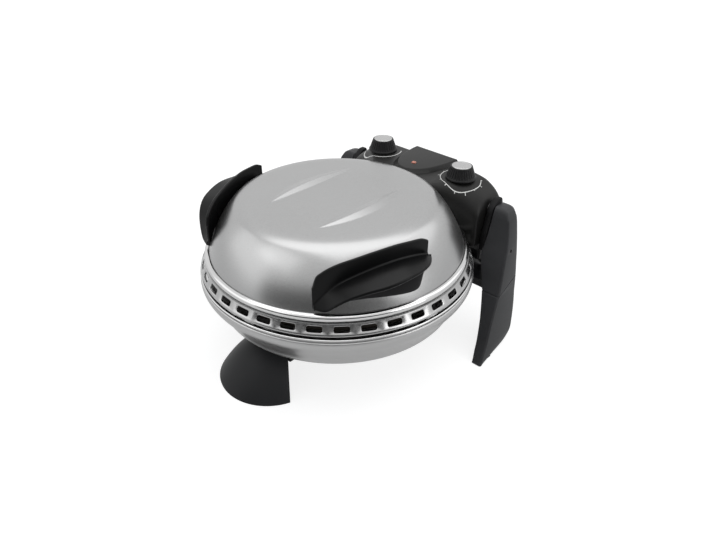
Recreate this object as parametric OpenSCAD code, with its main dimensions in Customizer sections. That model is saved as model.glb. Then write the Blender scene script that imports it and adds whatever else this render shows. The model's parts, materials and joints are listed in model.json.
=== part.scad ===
// Round countertop oven for pizza: a domed lid on a shallow bowl, hinged at the back.
// Millimetres, Z up, front towards -Y. The origin lies on the floor under the middle of the box.
// Inside the sub-parts, heights are counted from the middle plane of the slotted ring,
// and the bowl's axis is the local Z axis; place() sets everything down on the floor.

/* [Overall] */
// Radius of the slotted ring round the lid, at the middle of its slots
rim_r = 178; // [160:1:200]
// Height of the slotted ring's middle plane above the floor
rim_h = 135.5; // [120:0.5:155]
// Rise of the lid's crown above the slotted ring
dome_h = 78.5; // [66:0.5:94]
// Depth of the bowl below the slotted ring
bowl_depth = 86; // [76:0.5:96]

/* [Lid] */
// Thickness of the lid's outer sheet
dome_t = 1.2; // [0.8:0.1:2]
// Radius of the rolled bead at the lid's lower edge
bead_r = 5; // [4:0.5:6]
// Space between the lid's outer sheet and its heat shield
shield_gap = 8; // [6:0.5:10]
// Half the length of each crescent rib pressed in the crown
rib_half = 75; // [60:1:85]
// Distance from the middle of the lid to the outside of a crescent rib
rib_reach = 64; // [56:1:72]
// Width of a crescent rib at its middle
rib_w = 9; // [6:0.5:12]

/* [Slotted ring] */
// Number of slots round the ring
slot_count = 36; // [24:1:40]
// Length of a slot round the ring
slot_w = 17.4; // [12:0.2:19]
// Height of a slot along the slanted face
slot_h = 8.2; // [6:0.2:9]
// Angle of the first slot from the +X axis
slot_phase = 7.2; // [0:0.1:10]

/* [Base] */
// Thickness of the bowl's sheet
bowl_t = 1.5; // [1:0.1:2.5]
// Thickness of the baking stone
stone_t = 13; // [10:0.5:15]
// Gap all round between the stone and its pan
stone_play = 1.7; // [1:0.1:3]
// Depth of the lower pan's floor below the slotted ring
pan_depth = 52; // [46:0.5:58]

/* [Heating elements] */
// Diameter of the heating rod
rod_d = 7; // [6:0.5:8]
// Radius of the lower element's outer loop
lower_loop_r = 112; // [100:1:130]
// Radius of the lower element's inner loop
lower_loop_inner_r = 62; // [50:1:80]
// Radius of the upper element's loop
upper_loop_r = 115; // [95:1:120]

/* [Handles] */
// Direction of the right handle's middle from the +X axis
handle_at = -29.4; // [-40:0.2:-15]
// Direction that the right handle faces, from the +X axis
handle_faces = -22.2; // [-30:0.2:-10]
// Radius of the grip's outer edge, seen from above
grip_bow_r = 95; // [85:1:110]
// Thickness of the handle's upright wall
handle_wall = 3.6; // [3:0.2:5]
// Thickness of the grip
grip_t = 6; // [4:0.5:8]

/* [Control housing] */
// Half the width of the control housing
housing_half = 121; // [105:1:140]
// Height of the control panel above the slotted ring
panel_z = 71; // [64:0.5:76]
// Distance that the housing's back reaches past the slotted ring
housing_back = 25; // [18:1:32]
// Wall thickness of the housing
housing_wall = 2.5; // [2:0.1:3.5]
// Height of the raised panel above the control panel
plate_rise = 5; // [3:0.5:7]

/* [Knobs] */
// Distance of each knob's axis from the middle
knob_x = 72.2; // [62:0.2:80]
// Radius of a knob at its foot
knob_r = 21.1; // [17:0.1:23]
// Radius of a knob at its top
knob_top_r = 15.2; // [12:0.1:17]
// Height of a knob
knob_h = 17.2; // [14:0.2:22]
// Diameter of a knob's shaft
shaft_d = 6; // [5:0.5:8]

/* [Rear legs] */
// Clearance between the housing's end and a leg's cheek
cheek_gap = 1; // [0.6:0.1:3]
// Thickness of a leg's inner cheek
cheek_t = 10; // [8:0.5:12]
// Wall thickness of a leg's cover and shoe
leg_wall = 3; // [2:0.2:4]
// Thickness of the rubber under the feet
pad_t = 1; // [0.5:0.1:3]

/* [Front foot] */
// Radius of the front foot where it stands
foot_r = 70.2; // [58:0.2:78]
// Wall thickness of the front foot
foot_wall = 3; // [2:0.2:4]
// Slope of the cut at the back of the front foot
foot_cut_slope = 0.84; // [0.6:0.02:1]

/* [Hinge] */
// Distance of the hinge axis in front of the slotted ring's back
hinge_ahead = 2; // [0:0.5:4]
// Height of the hinge axis above the slotted ring
hinge_z = 37; // [34:0.5:40]
// Diameter of a hinge pin
hinge_pin_d = 8; // [6:0.5:10]
// Wall thickness of the bush that a hinge pin turns in
hinge_bush_t = 3.5; // [3:0.5:5]

/* [Brackets] */
// Thickness of the plates that carry the legs
plate_t = 6; // [4:0.5:8]
// Radius of the plates' round ends
plate_r = 12; // [10:0.5:14]
// Diameter of the bolt through the plates
bolt_d = 6; // [5:0.5:8]

/* [Fits] */
// Radial running clearance of a pin or shaft in its hole
fit_run = 0.08; // [0.02:0.01:0.1]
// Radial clearance of a fixed screw or bush in its hole
fit_fixed = 0.05; // [0.02:0.01:0.1]
// Clearance between a fitted piece and the shell that it lies against
seat_gap = 0.2; // [0.1:0.05:0.4]

/* [Hidden] */
$fn = 96;
tiny = 0.01;

// Places that follow from the driving dimensions
hinge_y = rim_r - hinge_ahead;
housing_back_y = rim_r + housing_back;
foot_y = -0.7*rim_r;
panel_back_y = housing_back_y + 3;
axis_y = (foot_r - foot_y - panel_back_y)/2;
knob_y = rim_r - 9.8;
handle_at_r = rim_r - 32.3;
leg_in = housing_half + cheek_gap;
floor_z = -rim_h;
black = "#1b1b1c";
steel = "#c4c6c8";

// ---------- helpers ----------

function bezier(a, b, c, d, steps) = [for (i = [1:steps])
    let (t = i/steps, s = 1 - t)
    s*s*s*a + 3*s*s*t*b + 3*s*t*t*c + t*t*t*d];

function reversed(list) = [for (i = [len(list) - 1:-1:0]) list[i]];

function turned_left(a, b) = let (d = (b - a)/norm(b - a)) [-d.y, d.x];

// A line of points moved sideways by t, to the left of its direction of travel
function moved_line(p, t) = [for (i = [0:len(p) - 1])
    let (last = len(p) - 1,
        before = turned_left(p[max(i - 1, 0)], p[max(i, 1)]),
        after = turned_left(p[min(i, last - 1)], p[min(i + 1, last)]),
        middle = (before + after)/norm(before + after))
    p[i] + middle*t/(middle*before)];

// Points of an arc in a plane, from angle a to angle b
function arc_points(centre, r, a, b, steps) = [for (i = [0:steps])
    let (angle = a + (b - a)*i/steps)
    centre + r*[cos(angle), sin(angle)]];

// A sheet of thickness t spun about the axis, lying to the left of the profile's travel
module spun_sheet(profile, t)
    rotate_extrude($fn = 180)
        polygon(concat(profile, [for (p = reversed(moved_line(profile, t))) [max(p.x, 0), p.y]]));

// A closed skin through rings of points, each ring with the same number of points
module loft(rings) {
    n = len(rings[0]);
    last = len(rings) - 1;
    sides = [for (i = [0:last - 1]) for (j = [0:n - 1])
        let (k = (j + 1)%n, low = i*n, high = low + n)
        each [[low + j, high + k, low + k], [low + j, high + j, high + k]]];
    first_end = [for (j = [0:n - 1]) j];
    last_end = [for (j = [n - 1:-1:0]) last*n + j];
    polyhedron(points = [for (ring = rings) each ring], faces = concat(sides, [first_end, last_end]));
}

// A rod from point a to point b
module rod_between(a, b, d) {
    v = b - a;
    translate(a)
        rotate([0, acos(v.z/norm(v)), atan2(v.y, v.x)])
            cylinder(d = d, h = norm(v), $fn = 24);
}

function direction(a, b) = (b - a)/norm(b - a);

// A route through points, with each corner rounded by a curve that starts r before it
function rounded_route(p, r) = concat([p[0]],
    [for (i = [1:len(p) - 2])
        let (back = min(r, norm(p[i] - p[i - 1])*0.45), ahead = min(r, norm(p[i + 1] - p[i])*0.45),
            a = p[i] - back*direction(p[i - 1], p[i]), b = p[i] + ahead*direction(p[i], p[i + 1]))
        each [for (t = [0:0.25:1]) (1 - t)*(1 - t)*a + 2*t*(1 - t)*p[i] + t*t*b]],
    [p[len(p) - 1]]);

// Directions square to a route, each turned as little as possible from the one before
function square_to(along, i = 0, side = [0.31, 0.17, 0.93]) = i == len(along) ? [] :
    let (flat = side - along[i]*(side*along[i]), unit = flat/norm(flat))
    concat([unit], square_to(along, i + 1, unit));

// A wire along a route with rounded corners
module wire(points, d) {
    route = rounded_route(points, 4);
    last = len(route) - 1;
    along = [for (i = [0:last])
        direction(route[max(i - 1, 0)], route[min(i + 1, last)])];
    side = square_to(along);
    loft([for (i = [0:last]) [for (a = [0:45:315])
        route[i] + d/2*(cos(a)*side[i] + sin(a)*cross(along[i], side[i]))]]);
}

// A screw along -Z with its head above the origin and a cross recess
module screw(d, length, head_d, head_h) {
    translate([0, 0, -length])
        cylinder(d = d, h = length + tiny, $fn = 32);
    difference() {
        cylinder(d = head_d, h = head_h, $fn = 32);
        for (a = [0, 90])
            rotate(a)
                translate([-head_d*0.3, -0.4, head_h/2])
                    cube([head_d*0.6, 0.8, head_h]);
    }
}

module mirrored(side)
    mirror([side < 0 ? 1 : 0, 0, 0])
        children();

module place()
    translate([0, axis_y, rim_h])
        children();

// ---------- profiles: [radius, height] ----------

// Lid's outer sheet, from its lower edge to the crown
dome_foot = [rim_r - 10, 14];
dome_shoulder = [rim_r - 45.5, 0.917*dome_h];
dome_profile = concat(
    [[rim_r - 9.7, 3], dome_foot],
    bezier(dome_foot, [rim_r - 15.5, 0.38*dome_h], [rim_r - 29.5, 0.74*dome_h], dome_shoulder, 9),
    bezier(dome_shoulder, [rim_r - 52, 0.99*dome_h], [rim_r - 60, dome_h - 0.8],
        [rim_r - 74, dome_h - 0.6], 5),
    [[0, dome_h]]);

// Slanted face that carries the slots, between these two points
band_top = [rim_r - 3.6, 4.6];
band_foot = [rim_r + 2, -6];
band_slope = atan2(band_foot.x - band_top.x, band_top.y - band_foot.y);
band_mid = (band_top + band_foot)/2;

// Rolled bead above the slotted band
bead_centre = [rim_r - 9, bead_r + 5];

// Bowl's outer skin, from its rim to the middle of its floor
bowl_waist = [rim_r - 16.6, -0.7*bowl_depth];
bowl_side = [rim_r + 4.4, -19];
bowl_profile = concat(
    [[rim_r - 8, -17], [rim_r + 2.6, -17], [rim_r + 4, -17.8], bowl_side],
    bezier(bowl_side, [rim_r + 7.8, -0.35*bowl_depth], [rim_r - 10.9, -0.515*bowl_depth],
        bowl_waist, 8),
    bezier(bowl_waist, [rim_r - 18, -0.834*bowl_depth], [rim_r - 49.8, -0.99*bowl_depth],
        [rim_r - 73, -bowl_depth], 7),
    [[0, -bowl_depth]]);

// Lower pan's upper face, from its flange to the middle of its floor
stone_seat_z = -12 - stone_t;
pan_r = rim_r - 30;
pan_profile = [[rim_r - 6.3, -15.8], [rim_r - 19.5, -15.8], [rim_r - 19.5, stone_seat_z],
    [pan_r, stone_seat_z], [pan_r, -pan_depth], [0, -pan_depth]];
pan_t = 1.2;

// Everything that the closed lid's shells fill, grown by g
module lid_envelope(g)
    rotate_extrude($fn = 180)
        polygon(concat(
            [[0, -11], [rim_r + 3 + g, -11], [rim_r + 3 + g, -6.5], [band_top.x + g, band_top.y + g]],
            arc_points(bead_centre, bead_r + g, 0, 98, 6),
            [for (p = moved_line([for (i = [1:len(dome_profile) - 1]) dome_profile[i]], -g))
                if (p.y > bead_centre.y + bead_r + 0.3) [max(p.x, 0), p.y]]));

// Everything inside the bowl's outer skin, grown by g
module bowl_envelope(g)
    rotate_extrude($fn = 180)
        polygon(concat([[0, -10], [rim_r + 4.6 + g, -10]],
            [for (p = moved_line(bowl_profile, g)) if (p.y < -17) [max(p.x, 0), p.y]]));

// ---------- base ----------

lead_z = -0.668*bowl_depth;
lead_in_y = rim_r - 25;
lead_flange_y = rim_r - 10.4;
terminal_a = 75;
foot_screw_x = 12;
boss_r = 6;

module base_bowl() place() color(steel) difference() {
    spun_sheet(bowl_profile, -bowl_t);
    translate([0, lead_in_y - 5, lead_z])
        rotate([-90, 0, 0])
            cylinder(r = lead_hole_r, h = 40);
    for (x = [-foot_screw_x, foot_screw_x])
        translate([x, foot_y, -bowl_depth - 5])
            cylinder(r = 2 + fit_fixed, h = 20);
}

trim_nose_r = 1.25;
module base_trim_ring() place() color("#e4e5e7")
    rotate_extrude($fn = 180)
        polygon(concat([[rim_r - 6, -17], [rim_r + 1.5, -17], [rim_r + 1.5, -14.5]],
            arc_points([rim_r + 3, -14.5 + trim_nose_r], trim_nose_r, -90, 90, 8),
            [[rim_r - 6, -12]]));

module at_lower_terminals()
    for (a = [terminal_a, 180 - terminal_a])
        rotate(a)
            translate([lower_loop_inner_r, 0, 0])
                children();

bush_r = 6;
module base_pan() place() color("#9a9da0") difference() {
    spun_sheet(pan_profile, pan_t);
    at_lower_terminals()
        translate([0, 0, -pan_depth - 5])
            cylinder(r = bush_r + fit_fixed, h = 10);
}

module baking_stone() place() color("#c9b79c")
    translate([0, 0, stone_seat_z])
        cylinder(r = rim_r - 19.5 - stone_play, h = stone_t, $fn = 180);

lower_rod_z = -40;
lower_terminal_z = -62;

// Part of a heating loop between two angles
module rod_arc(r, z, from_a, to_a, d)
    rotate(from_a)
        translate([0, 0, z])
            rotate_extrude(angle = to_a - from_a, $fn = 120)
                translate([r, 0])
                    circle(d = d, $fn = 24);

module lower_element() place() color("#3d3a38") {
    front_gap = 15;
    rod_arc(lower_loop_r, lower_rod_z, -90 + front_gap, 270 - front_gap, rod_d);
    for (m = [0, 1])
        mirror([m, 0, 0]) {
            rod_arc(lower_loop_inner_r, lower_rod_z, -90 + front_gap, terminal_a, rod_d);
            rotate(-90 + front_gap) {
                rod_between([lower_loop_inner_r, 0, lower_rod_z],
                    [lower_loop_r, 0, lower_rod_z], rod_d);
                for (r = [lower_loop_inner_r, lower_loop_r])
                    translate([r, 0, lower_rod_z])
                        sphere(d = rod_d, $fn = 24);
            }
        }
    at_lower_terminals() {
        translate([0, 0, lower_rod_z])
            sphere(d = rod_d, $fn = 24);
        translate([0, 0, lower_terminal_z])
            cylinder(d = rod_d, h = lower_rod_z - lower_terminal_z, $fn = 24);
    }
}

clip_angles = [20, 160, 200, 340];
clip_w = 8;
module lower_element_clips() place() color("#b9bbbd")
    difference() {
        for (a = clip_angles)
            rotate(a)
                translate([lower_loop_r - clip_w/2, -3, -pan_depth])
                    cube([clip_w, 6, pan_depth + lower_rod_z]);
        rod_arc(lower_loop_r, lower_rod_z, 0, 360, rod_d + 2*seat_gap);
    }

module lower_element_bushes() place() color("#efe9dc")
    at_lower_terminals()
        translate([0, 0, -pan_depth - 6])
            difference() {
                union() {
                    cylinder(r = bush_r, h = 6 + 3);
                    cylinder(r = bush_r + 2, h = 6 - pan_t);
                }
                translate([0, 0, -1])
                    cylinder(d = rod_d + 2*fit_fixed, h = 20);
            }

wire_d = 2.4;
lead_hole_r = 6;
module lower_wiring() place() color("#b04a34")
    for (s = [-1, 1]) {
        start = lower_loop_inner_r*[s*cos(terminal_a), sin(terminal_a)];
        wire([[start.x, start.y, lower_terminal_z], [start.x, start.y, lower_terminal_z - 6],
            [s*14, lead_in_y - 28, lead_z - 10], [s*2.6, lead_in_y - 7, lead_z],
            [s*2.6, lead_in_y, lead_z]], wire_d);
    }

module lead_bush() place() color(black)
    translate([0, lead_in_y, lead_z])
        rotate([-90, 0, 0])
            difference() {
                union() {
                    cylinder(r = lead_hole_r - fit_fixed, h = lead_flange_y - lead_in_y + 3);
                    translate([0, 0, lead_flange_y - lead_in_y])
                        cylinder(r = lead_hole_r + 2.5, h = 3.5);
                }
                translate([0, 0, 2])
                    cylinder(r = 3.5, h = 20);
            }

// ---------- front foot ----------

foot_top = rim_h - bowl_depth + 7.5;

function foot_radius(h) = foot_r*sqrt(1 - h/foot_top);

// Solid dome of the front foot, w inside its outer skin
module foot_dome(w) {
    heights = [pad_t, 6, 14, 24, 34, 44, foot_top - 3.5];
    translate([0, foot_y, floor_z])
        rotate_extrude($fn = 120)
            polygon(concat([[0, pad_t - (w > 0 ? 1 : 0)]],
                [for (h = heights) [foot_radius(h) - w, h - (h > pad_t ? w*0.7 : (w > 0 ? 1 : 0))]],
                [[0, foot_top - 3.5 - w*0.7]]));
}

// Room behind the foot's slanted cut
module foot_cut()
    translate([0, foot_y + 29.5, floor_z - 1])
        linear_extrude(rim_h)
            polygon([[0, 0], [90, -90*foot_cut_slope], [90, 120], [-90, 120], [-90, -90*foot_cut_slope]]);

module foot_bosses(r, z0, z1)
    for (x = [-foot_screw_x, foot_screw_x])
        translate([x, foot_y, z0])
            cylinder(r = r, h = z1 - z0);

boss_z = -bowl_depth - 16;
module front_foot() place() color(black) difference() {
    union() {
        difference() {
            foot_dome(0);
            foot_dome(foot_wall);
            foot_cut();
        }
        foot_bosses(boss_r, boss_z, -bowl_depth + 2);
    }
    bowl_envelope(seat_gap);
    foot_bosses(2 + fit_fixed, boss_z - 1, -bowl_depth + 10);
}

post_at = [50, foot_y - 5.5];
module front_foot_bracket() place() color("#2a2a2b") difference() {
    union() {
        for (s = [-1, 1])
            translate([s*post_at.x - 7, post_at.y - 6, floor_z + 35])
                cube([14, 12, rim_h - bowl_depth - 20]);
        translate([-post_at.x - 7, foot_y + 8, floor_z + 35])
            cube([2*post_at.x + 14, 8, rim_h - bowl_depth - 35 - 6]);
        for (s = [-1, 1])
            translate([s*post_at.x - 7, post_at.y, floor_z + 35])
                cube([14, foot_y + 16 - post_at.y, rim_h - bowl_depth - 35 - 6]);
    }
    bowl_envelope(seat_gap);
    foot_bosses(boss_r + seat_gap, boss_z - 1, 0);
}

module front_foot_strip() place() color("#141414") difference() {
    translate([0, foot_y, floor_z])
        rotate_extrude($fn = 120)
            translate([foot_radius(pad_t) - foot_wall + 0.2, 0])
                square([foot_wall - 0.4, pad_t]);
    foot_cut();
}

module front_foot_screws() place() color("#8f9194")
    for (x = [-foot_screw_x, foot_screw_x])
        translate([x, foot_y, boss_z])
            rotate([180, 0, 0])
                screw(4, 22, 8, 2.4);

// ---------- rear legs ----------

// Rows of a leg: height, inner face, front face, back face and the corner radius of the outer
// back edge. The outer face leans in by leg_lean for each millimetre of height.
leg_lean = 0.22;
leg_out_at_rim = leg_in + 46.2;
leg_back = rim_r - 178;
leg_side = leg_in - 122;
leg_rows = [
    [floor_z + pad_t, 184.5, 71, 104, 4],
    [floor_z + 4, 183.5, 74, 135, 5],
    [floor_z + 13, 180.5, 80.5, 157, 6],
    [-0.82*rim_h, 176.5, 89, 164, 6],
    [-0.69*rim_h, 171.7, 99.5, 171, 7],
    [-0.60*rim_h, 167.5, 107.5, 175, 8],
    [-60, 159.5, 122, 180, 9],
    [-45, 158, 131, 183, 10],
    [-29, 150, 138.5, 185, 11],
    [-13, 138, 146, 186.5, 11],
    [4, 122, 154, 188, 12],
    [25, 122, 160.5, 188.5, 12],
    [39, 122, 163.5, 188.5, 12]];
// Rows of the rounded top: height, outer face, front face, back face, corner radius
leg_top_rows = [[46, 149.5, 167, 188, 8], [52, 137, 174, 186.5, 5], [54.5, 132, 178, 185, 2]];

// Ring of points round a box with rounded corners, at one height
function leg_ring(z, x0, x1, y0, y1, back_r) =
    let (small = min(2, (x1 - x0)/3),
        front = min(5, (x1 - x0)/3, (y1 - y0)/3),
        back = min(back_r, (x1 - x0)*0.6, (y1 - y0)/3))
    [for (p = concat(
        arc_points([x0 + small, y0 + small], small, 180, 270, 3),
        arc_points([x1 - front, y0 + front], front, 270, 360, 3),
        arc_points([x1 - back, y1 - back], back, 0, 90, 4),
        arc_points([x0 + small, y1 - small], small, 90, 180, 3))) [p.x, p.y, z]];

// Whole outline of the right leg, moved w inwards from its faces
module leg_body(w, inner_w)
    loft(concat(
        [for (row = leg_rows) leg_ring(row[0], row[1] + leg_side + inner_w,
            leg_out_at_rim - leg_lean*row[0] - w,
            row[2] + leg_back + w, row[3] + leg_back - w, row[4])],
        [for (row = leg_top_rows) leg_ring(row[0], leg_in + inner_w, row[1] + leg_side - w,
            row[2] + leg_back + w*0.6, row[3] + leg_back - w*0.6, row[4])]));

module leg_core()
    intersection() {
        leg_body(leg_wall, leg_wall - 0.6);
        translate([leg_in - 10, leg_back, floor_z + 20])
            cube([100, 260, rim_h - 20 + 54.5 - leg_wall]);
    }

seam_z = -59;
seam_tilt = 10.5;
// Room above the slanted seam between a leg's cover and its shoe
module above_seam()
    translate([0, 110 + leg_back, seam_z])
        rotate([seam_tilt, 0, 0])
            translate([0, -150, 0])
                cube([300, 400, 200]);

beam_y = [138 + leg_back, 172 + leg_back];
beam_z = [-63, -52];
tongue_x = [leg_in + 30, leg_in + 50];
tongue_y = [142 + leg_back, 168 + leg_back];
// Tongue of the bracket, mortised into the leg
module bracket_tongue(g)
    translate([tongue_x[0], tongue_y[0] - g, beam_z[0] + 1 - g])
        cube([tongue_x[1] - tongue_x[0] + g, tongue_y[1] - tongue_y[0] + 2*g,
            beam_z[1] - beam_z[0] - 2 + 2*g]);

tongue_bolt_r = 2.5;
tongue_bolt_seat_y = 174 + leg_back;
// Hole along Y for the bolt that holds the leg to the tongue, and the well for its head
module tongue_bolt_hole()
    translate([leg_in + 45, tongue_y[0] + 4, (beam_z[0] + beam_z[1])/2])
        rotate([-90, 0, 0]) {
            cylinder(r = tongue_bolt_r + fit_fixed, h = 60, $fn = 32);
            translate([0, 0, tongue_bolt_seat_y - tongue_y[0] - 4])
                cylinder(r = 4.8, h = 30, $fn = 32);
        }

cover_screw_at = [162 + leg_back, -4.5];
cover_screw_seat = leg_out_at_rim - 10;
// Hole along X for the screw that holds a leg's cover, and the well for its head
module cover_screw_hole()
    translate([cover_screw_seat, cover_screw_at.x, cover_screw_at.y])
        rotate([0, 90, 0]) {
            translate([0, 0, -13])
                cylinder(r = 1.8 + fit_fixed, h = 20, $fn = 32);
            cylinder(r = 4, h = 30, $fn = 32);
        }

// A disc across the hinge axis from x0 to x1
module hinge_disc(r, x0, x1)
    translate([x0, hinge_y, hinge_z])
        rotate([0, 90, 0])
            cylinder(r = r, h = x1 - x0);

pin_r = hinge_pin_d/2;
pin_head_r = pin_r + 2.5;
pin_seat_x = leg_in + cheek_t;
module leg_frame() color("#262627") difference() {
    union() {
        leg_core();
        intersection() {
            leg_body(0, 0);
            translate([0, 0, -20])
                cube([leg_in + cheek_t, 300 + leg_back, 100]);
        }
    }
    bracket_tongue(fit_fixed);
    tongue_bolt_hole();
    cover_screw_hole();
    hinge_disc(pin_r + fit_fixed, leg_in - 1, leg_in + 60);
    hinge_disc(pin_head_r + fit_fixed, pin_seat_x, leg_in + 60);
}

module leg_cover() color("#303032") difference() {
    intersection() {
        leg_body(0, 0);
        above_seam();
        translate([leg_in + cheek_t, 0, -100])
            cube([120, 300 + leg_back, 200]);
    }
    leg_core();
    bracket_tongue(fit_fixed);
    tongue_bolt_hole();
    cover_screw_hole();
}

module leg_shoe() color("#303032") difference() {
    leg_body(0, 0);
    above_seam();
    leg_core();
    bracket_tongue(fit_fixed);
    tongue_bolt_hole();
}

module leg_frame_left() place() mirrored(-1) leg_frame();
module leg_frame_right() place() mirrored(1) leg_frame();
module leg_cover_left() place() mirrored(-1) leg_cover();
module leg_cover_right() place() mirrored(1) leg_cover();
module leg_shoe_left() place() mirrored(-1) leg_shoe();
module leg_shoe_right() place() mirrored(1) leg_shoe();

module leg_screws() place() color("#55575a")
    for (s = [-1, 1])
        mirrored(s)
            translate([cover_screw_seat, cover_screw_at.x, cover_screw_at.y])
                rotate([0, 90, 0])
                    screw(3.6, 12, 7, 2.2);

module leg_pads() place() color("#141414")
    for (s = [-1, 1])
        mirrored(s)
            translate([leg_side + 187, leg_back + 77, floor_z])
                cube([7, 24, pad_t]);

// ---------- brackets and hinge ----------

bolt_at = [rim_r - 2, -43];
plate_x = leg_in - 10;
// A disc across the bolt through the bracket plates, from x0 to x1
module bolt_disc(r, x0, x1)
    translate([x0, bolt_at.x, bolt_at.y])
        rotate([0, 90, 0])
            cylinder(r = r, h = x1 - x0);

// Plate welded to the bowl, whose round end takes the leg's bracket
module bowl_bracket() color("#232324") difference() {
    union() {
        translate([plate_x - plate_t, 0.6*rim_r, bolt_at.y - plate_r])
            cube([plate_t - fit_fixed, bolt_at.x - 0.6*rim_r, 2*plate_r]);
        bolt_disc(plate_r, plate_x - plate_t, plate_x - fit_fixed);
    }
    bowl_envelope(seat_gap);
    bolt_disc(bolt_d/2 + fit_fixed, plate_x - 20, plate_x + 20);
}

// Plate, beam and tongue that carry a leg
module leg_bracket() color("#232324") difference() {
    union() {
        bolt_disc(plate_r, plate_x, plate_x + plate_t);
        translate([plate_x, beam_y[0] + 12, beam_z[0]])
            cube([plate_t, bolt_at.x - beam_y[0] - 12, bolt_at.y + plate_r - beam_z[0]]);
        translate([plate_x, beam_y[0], beam_z[0]])
            cube([leg_in + 35.5 - plate_x, beam_y[1] - beam_y[0], beam_z[1] - beam_z[0]]);
        bracket_tongue(0);
    }
    bowl_envelope(seat_gap);
    bolt_disc(bolt_d/2 + fit_fixed, plate_x - 20, plate_x + 20);
    tongue_bolt_hole();
}

module bowl_bracket_left() place() mirrored(-1) bowl_bracket();
module bowl_bracket_right() place() mirrored(1) bowl_bracket();
module leg_bracket_left() place() mirrored(-1) leg_bracket();
module leg_bracket_right() place() mirrored(1) leg_bracket();

module bracket_bolts() place() color("#b9bbbd")
    for (s = [-1, 1])
        mirrored(s) {
            bolt_disc(bolt_d/2, plate_x - plate_t - 4, plate_x + plate_t + 3);
            bolt_disc(bolt_d/2 + 4, plate_x + plate_t + 0.05, plate_x + plate_t + 2);
            bolt_disc(bolt_d/2 + 2.5, plate_x + plate_t + 1.9, plate_x + plate_t + 4.5);
            bolt_disc(bolt_d/2 + 3, plate_x - plate_t - 4, plate_x - plate_t - 0.05);
            translate([leg_in + 45, tongue_bolt_seat_y, (beam_z[0] + beam_z[1])/2])
                rotate([-90, 0, 0])
                    screw(2*tongue_bolt_r, tongue_bolt_seat_y - tongue_y[0] - 6, 9, 3);
        }

pin_in_x = leg_in - 14;
module hinge_pins() place() color("#d9dadb")
    for (s = [-1, 1])
        mirrored(s) {
            hinge_disc(pin_r, pin_in_x, pin_seat_x + tiny);
            hinge_disc(pin_head_r, pin_seat_x, pin_seat_x + 3);
        }

hinge_bush_r = pin_r + hinge_bush_t;
bush_in_x = leg_in - 18;
bush_out_x = leg_in - 0.5;
// Bush in the end of the housing that turns on the hinge pin
module hinge_bush() color("#8d8f92") difference() {
    union() {
        hinge_disc(hinge_bush_r, bush_in_x, bush_out_x);
        hinge_disc(hinge_bush_r + 3, bush_in_x, bush_in_x + 3);
    }
    hinge_disc(pin_r + fit_run, bush_in_x - 1, bush_out_x + 1);
}

module hinge_bush_left() place() mirrored(-1) hinge_bush();
module hinge_bush_right() place() mirrored(1) hinge_bush();

// ---------- lid ----------

wire_hole_z = 55.5*dome_h/78.5;
wire_hole_r = 8;

// One crescent rib on the right side of the crown
module crescent(h) {
    outer_sag = rib_reach - 47;
    inner_sag = outer_sag - rib_w;
    outer_r = (rib_half*rib_half + outer_sag*outer_sag)/(2*outer_sag);
    inner_r = (rib_half*rib_half + inner_sag*inner_sag)/(2*inner_sag);
    linear_extrude(h)
        difference() {
            translate([rib_reach - outer_r, 0])
                circle(r = outer_r, $fn = 180);
            translate([rib_reach - rib_w - inner_r, 0])
                circle(r = inner_r, $fn = 180);
            translate([-400, -400])
                square([400, 800]);
        }
}

module lid_dome() place() color(steel) difference() {
    union() {
        spun_sheet(dome_profile, dome_t);
        for (s = [-1, 1])
            mirrored(s)
                translate([0, 0, dome_h - 1.2])
                    crescent(2.2);
    }
    translate([0, 0.75*rim_r, wire_hole_z])
        rotate([-90, 0, 0])
            cylinder(r = wire_hole_r, h = 40);
    for (s = [-1, 1])
        mirrored(s)
            in_handle()
                handle_holes(1.8 + fit_fixed);
}

shield_t = 0.8;
shield_profile = concat(
    [[rim_r - 11.1, 4.2], [rim_r - 17.4, 4.2]],
    [for (p = moved_line([for (i = [1:len(dome_profile) - 1]) dome_profile[i]], shield_gap))
        [max(p.x, 0), p.y]]);

module at_upper_terminals()
    for (a = [84, 96])
        rotate(a)
            translate([upper_loop_r, 0, 0])
                children();

upper_bush_r = 5.5;
module heat_shield() place() color("#a8abae") difference() {
    spun_sheet(shield_profile, shield_t);
    at_upper_terminals()
        translate([0, 0, dome_h - 25])
            cylinder(r = upper_bush_r + fit_fixed, h = 20);
}

module slotted_band() place() color("#d5d7d9") difference() {
    spun_sheet([[rim_r - 9.6, 4.6], band_top, band_foot, [rim_r + 2.8, -7.6],
        [rim_r + 1.8, -9], [rim_r - 0.4, -9]], -1);
    for (i = [0:slot_count - 1])
        rotate(slot_phase + i*360/slot_count)
            translate([band_mid.x, 0, band_mid.y])
                rotate([0, 90 - band_slope, 0])
                    slot_cutter();
}

// A slot with rounded corners, cut square to the band's slanted face
module slot_cutter() {
    corner = 2.2;
    translate([0, 0, -5])
        linear_extrude(10) {
            square([slot_h - 2*corner, slot_w], center = true);
            square([slot_h, slot_w - 2*corner], center = true);
            for (x = [-1, 1]) for (y = [-1, 1])
                translate([x*(slot_h/2 - corner), y*(slot_w/2 - corner)])
                    circle(r = corner, $fn = 24);
        }
}

module bead_ring() place() color("#dfe0e2")
    spun_sheet(reversed(arc_points(bead_centre, bead_r, -75, 98, 14)), -1);

upper_rod_z = dome_h - 26.5;
upper_terminal_z = dome_h - 7.5;
module upper_element() place() color("#3d3a38") {
    rod_arc(upper_loop_r, upper_rod_z, 96, 360 + 84, rod_d);
    at_upper_terminals() {
        translate([0, 0, upper_rod_z])
            sphere(d = rod_d, $fn = 24);
        translate([0, 0, upper_rod_z])
            cylinder(d = rod_d, h = upper_terminal_z - upper_rod_z, $fn = 24);
    }
}

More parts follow.
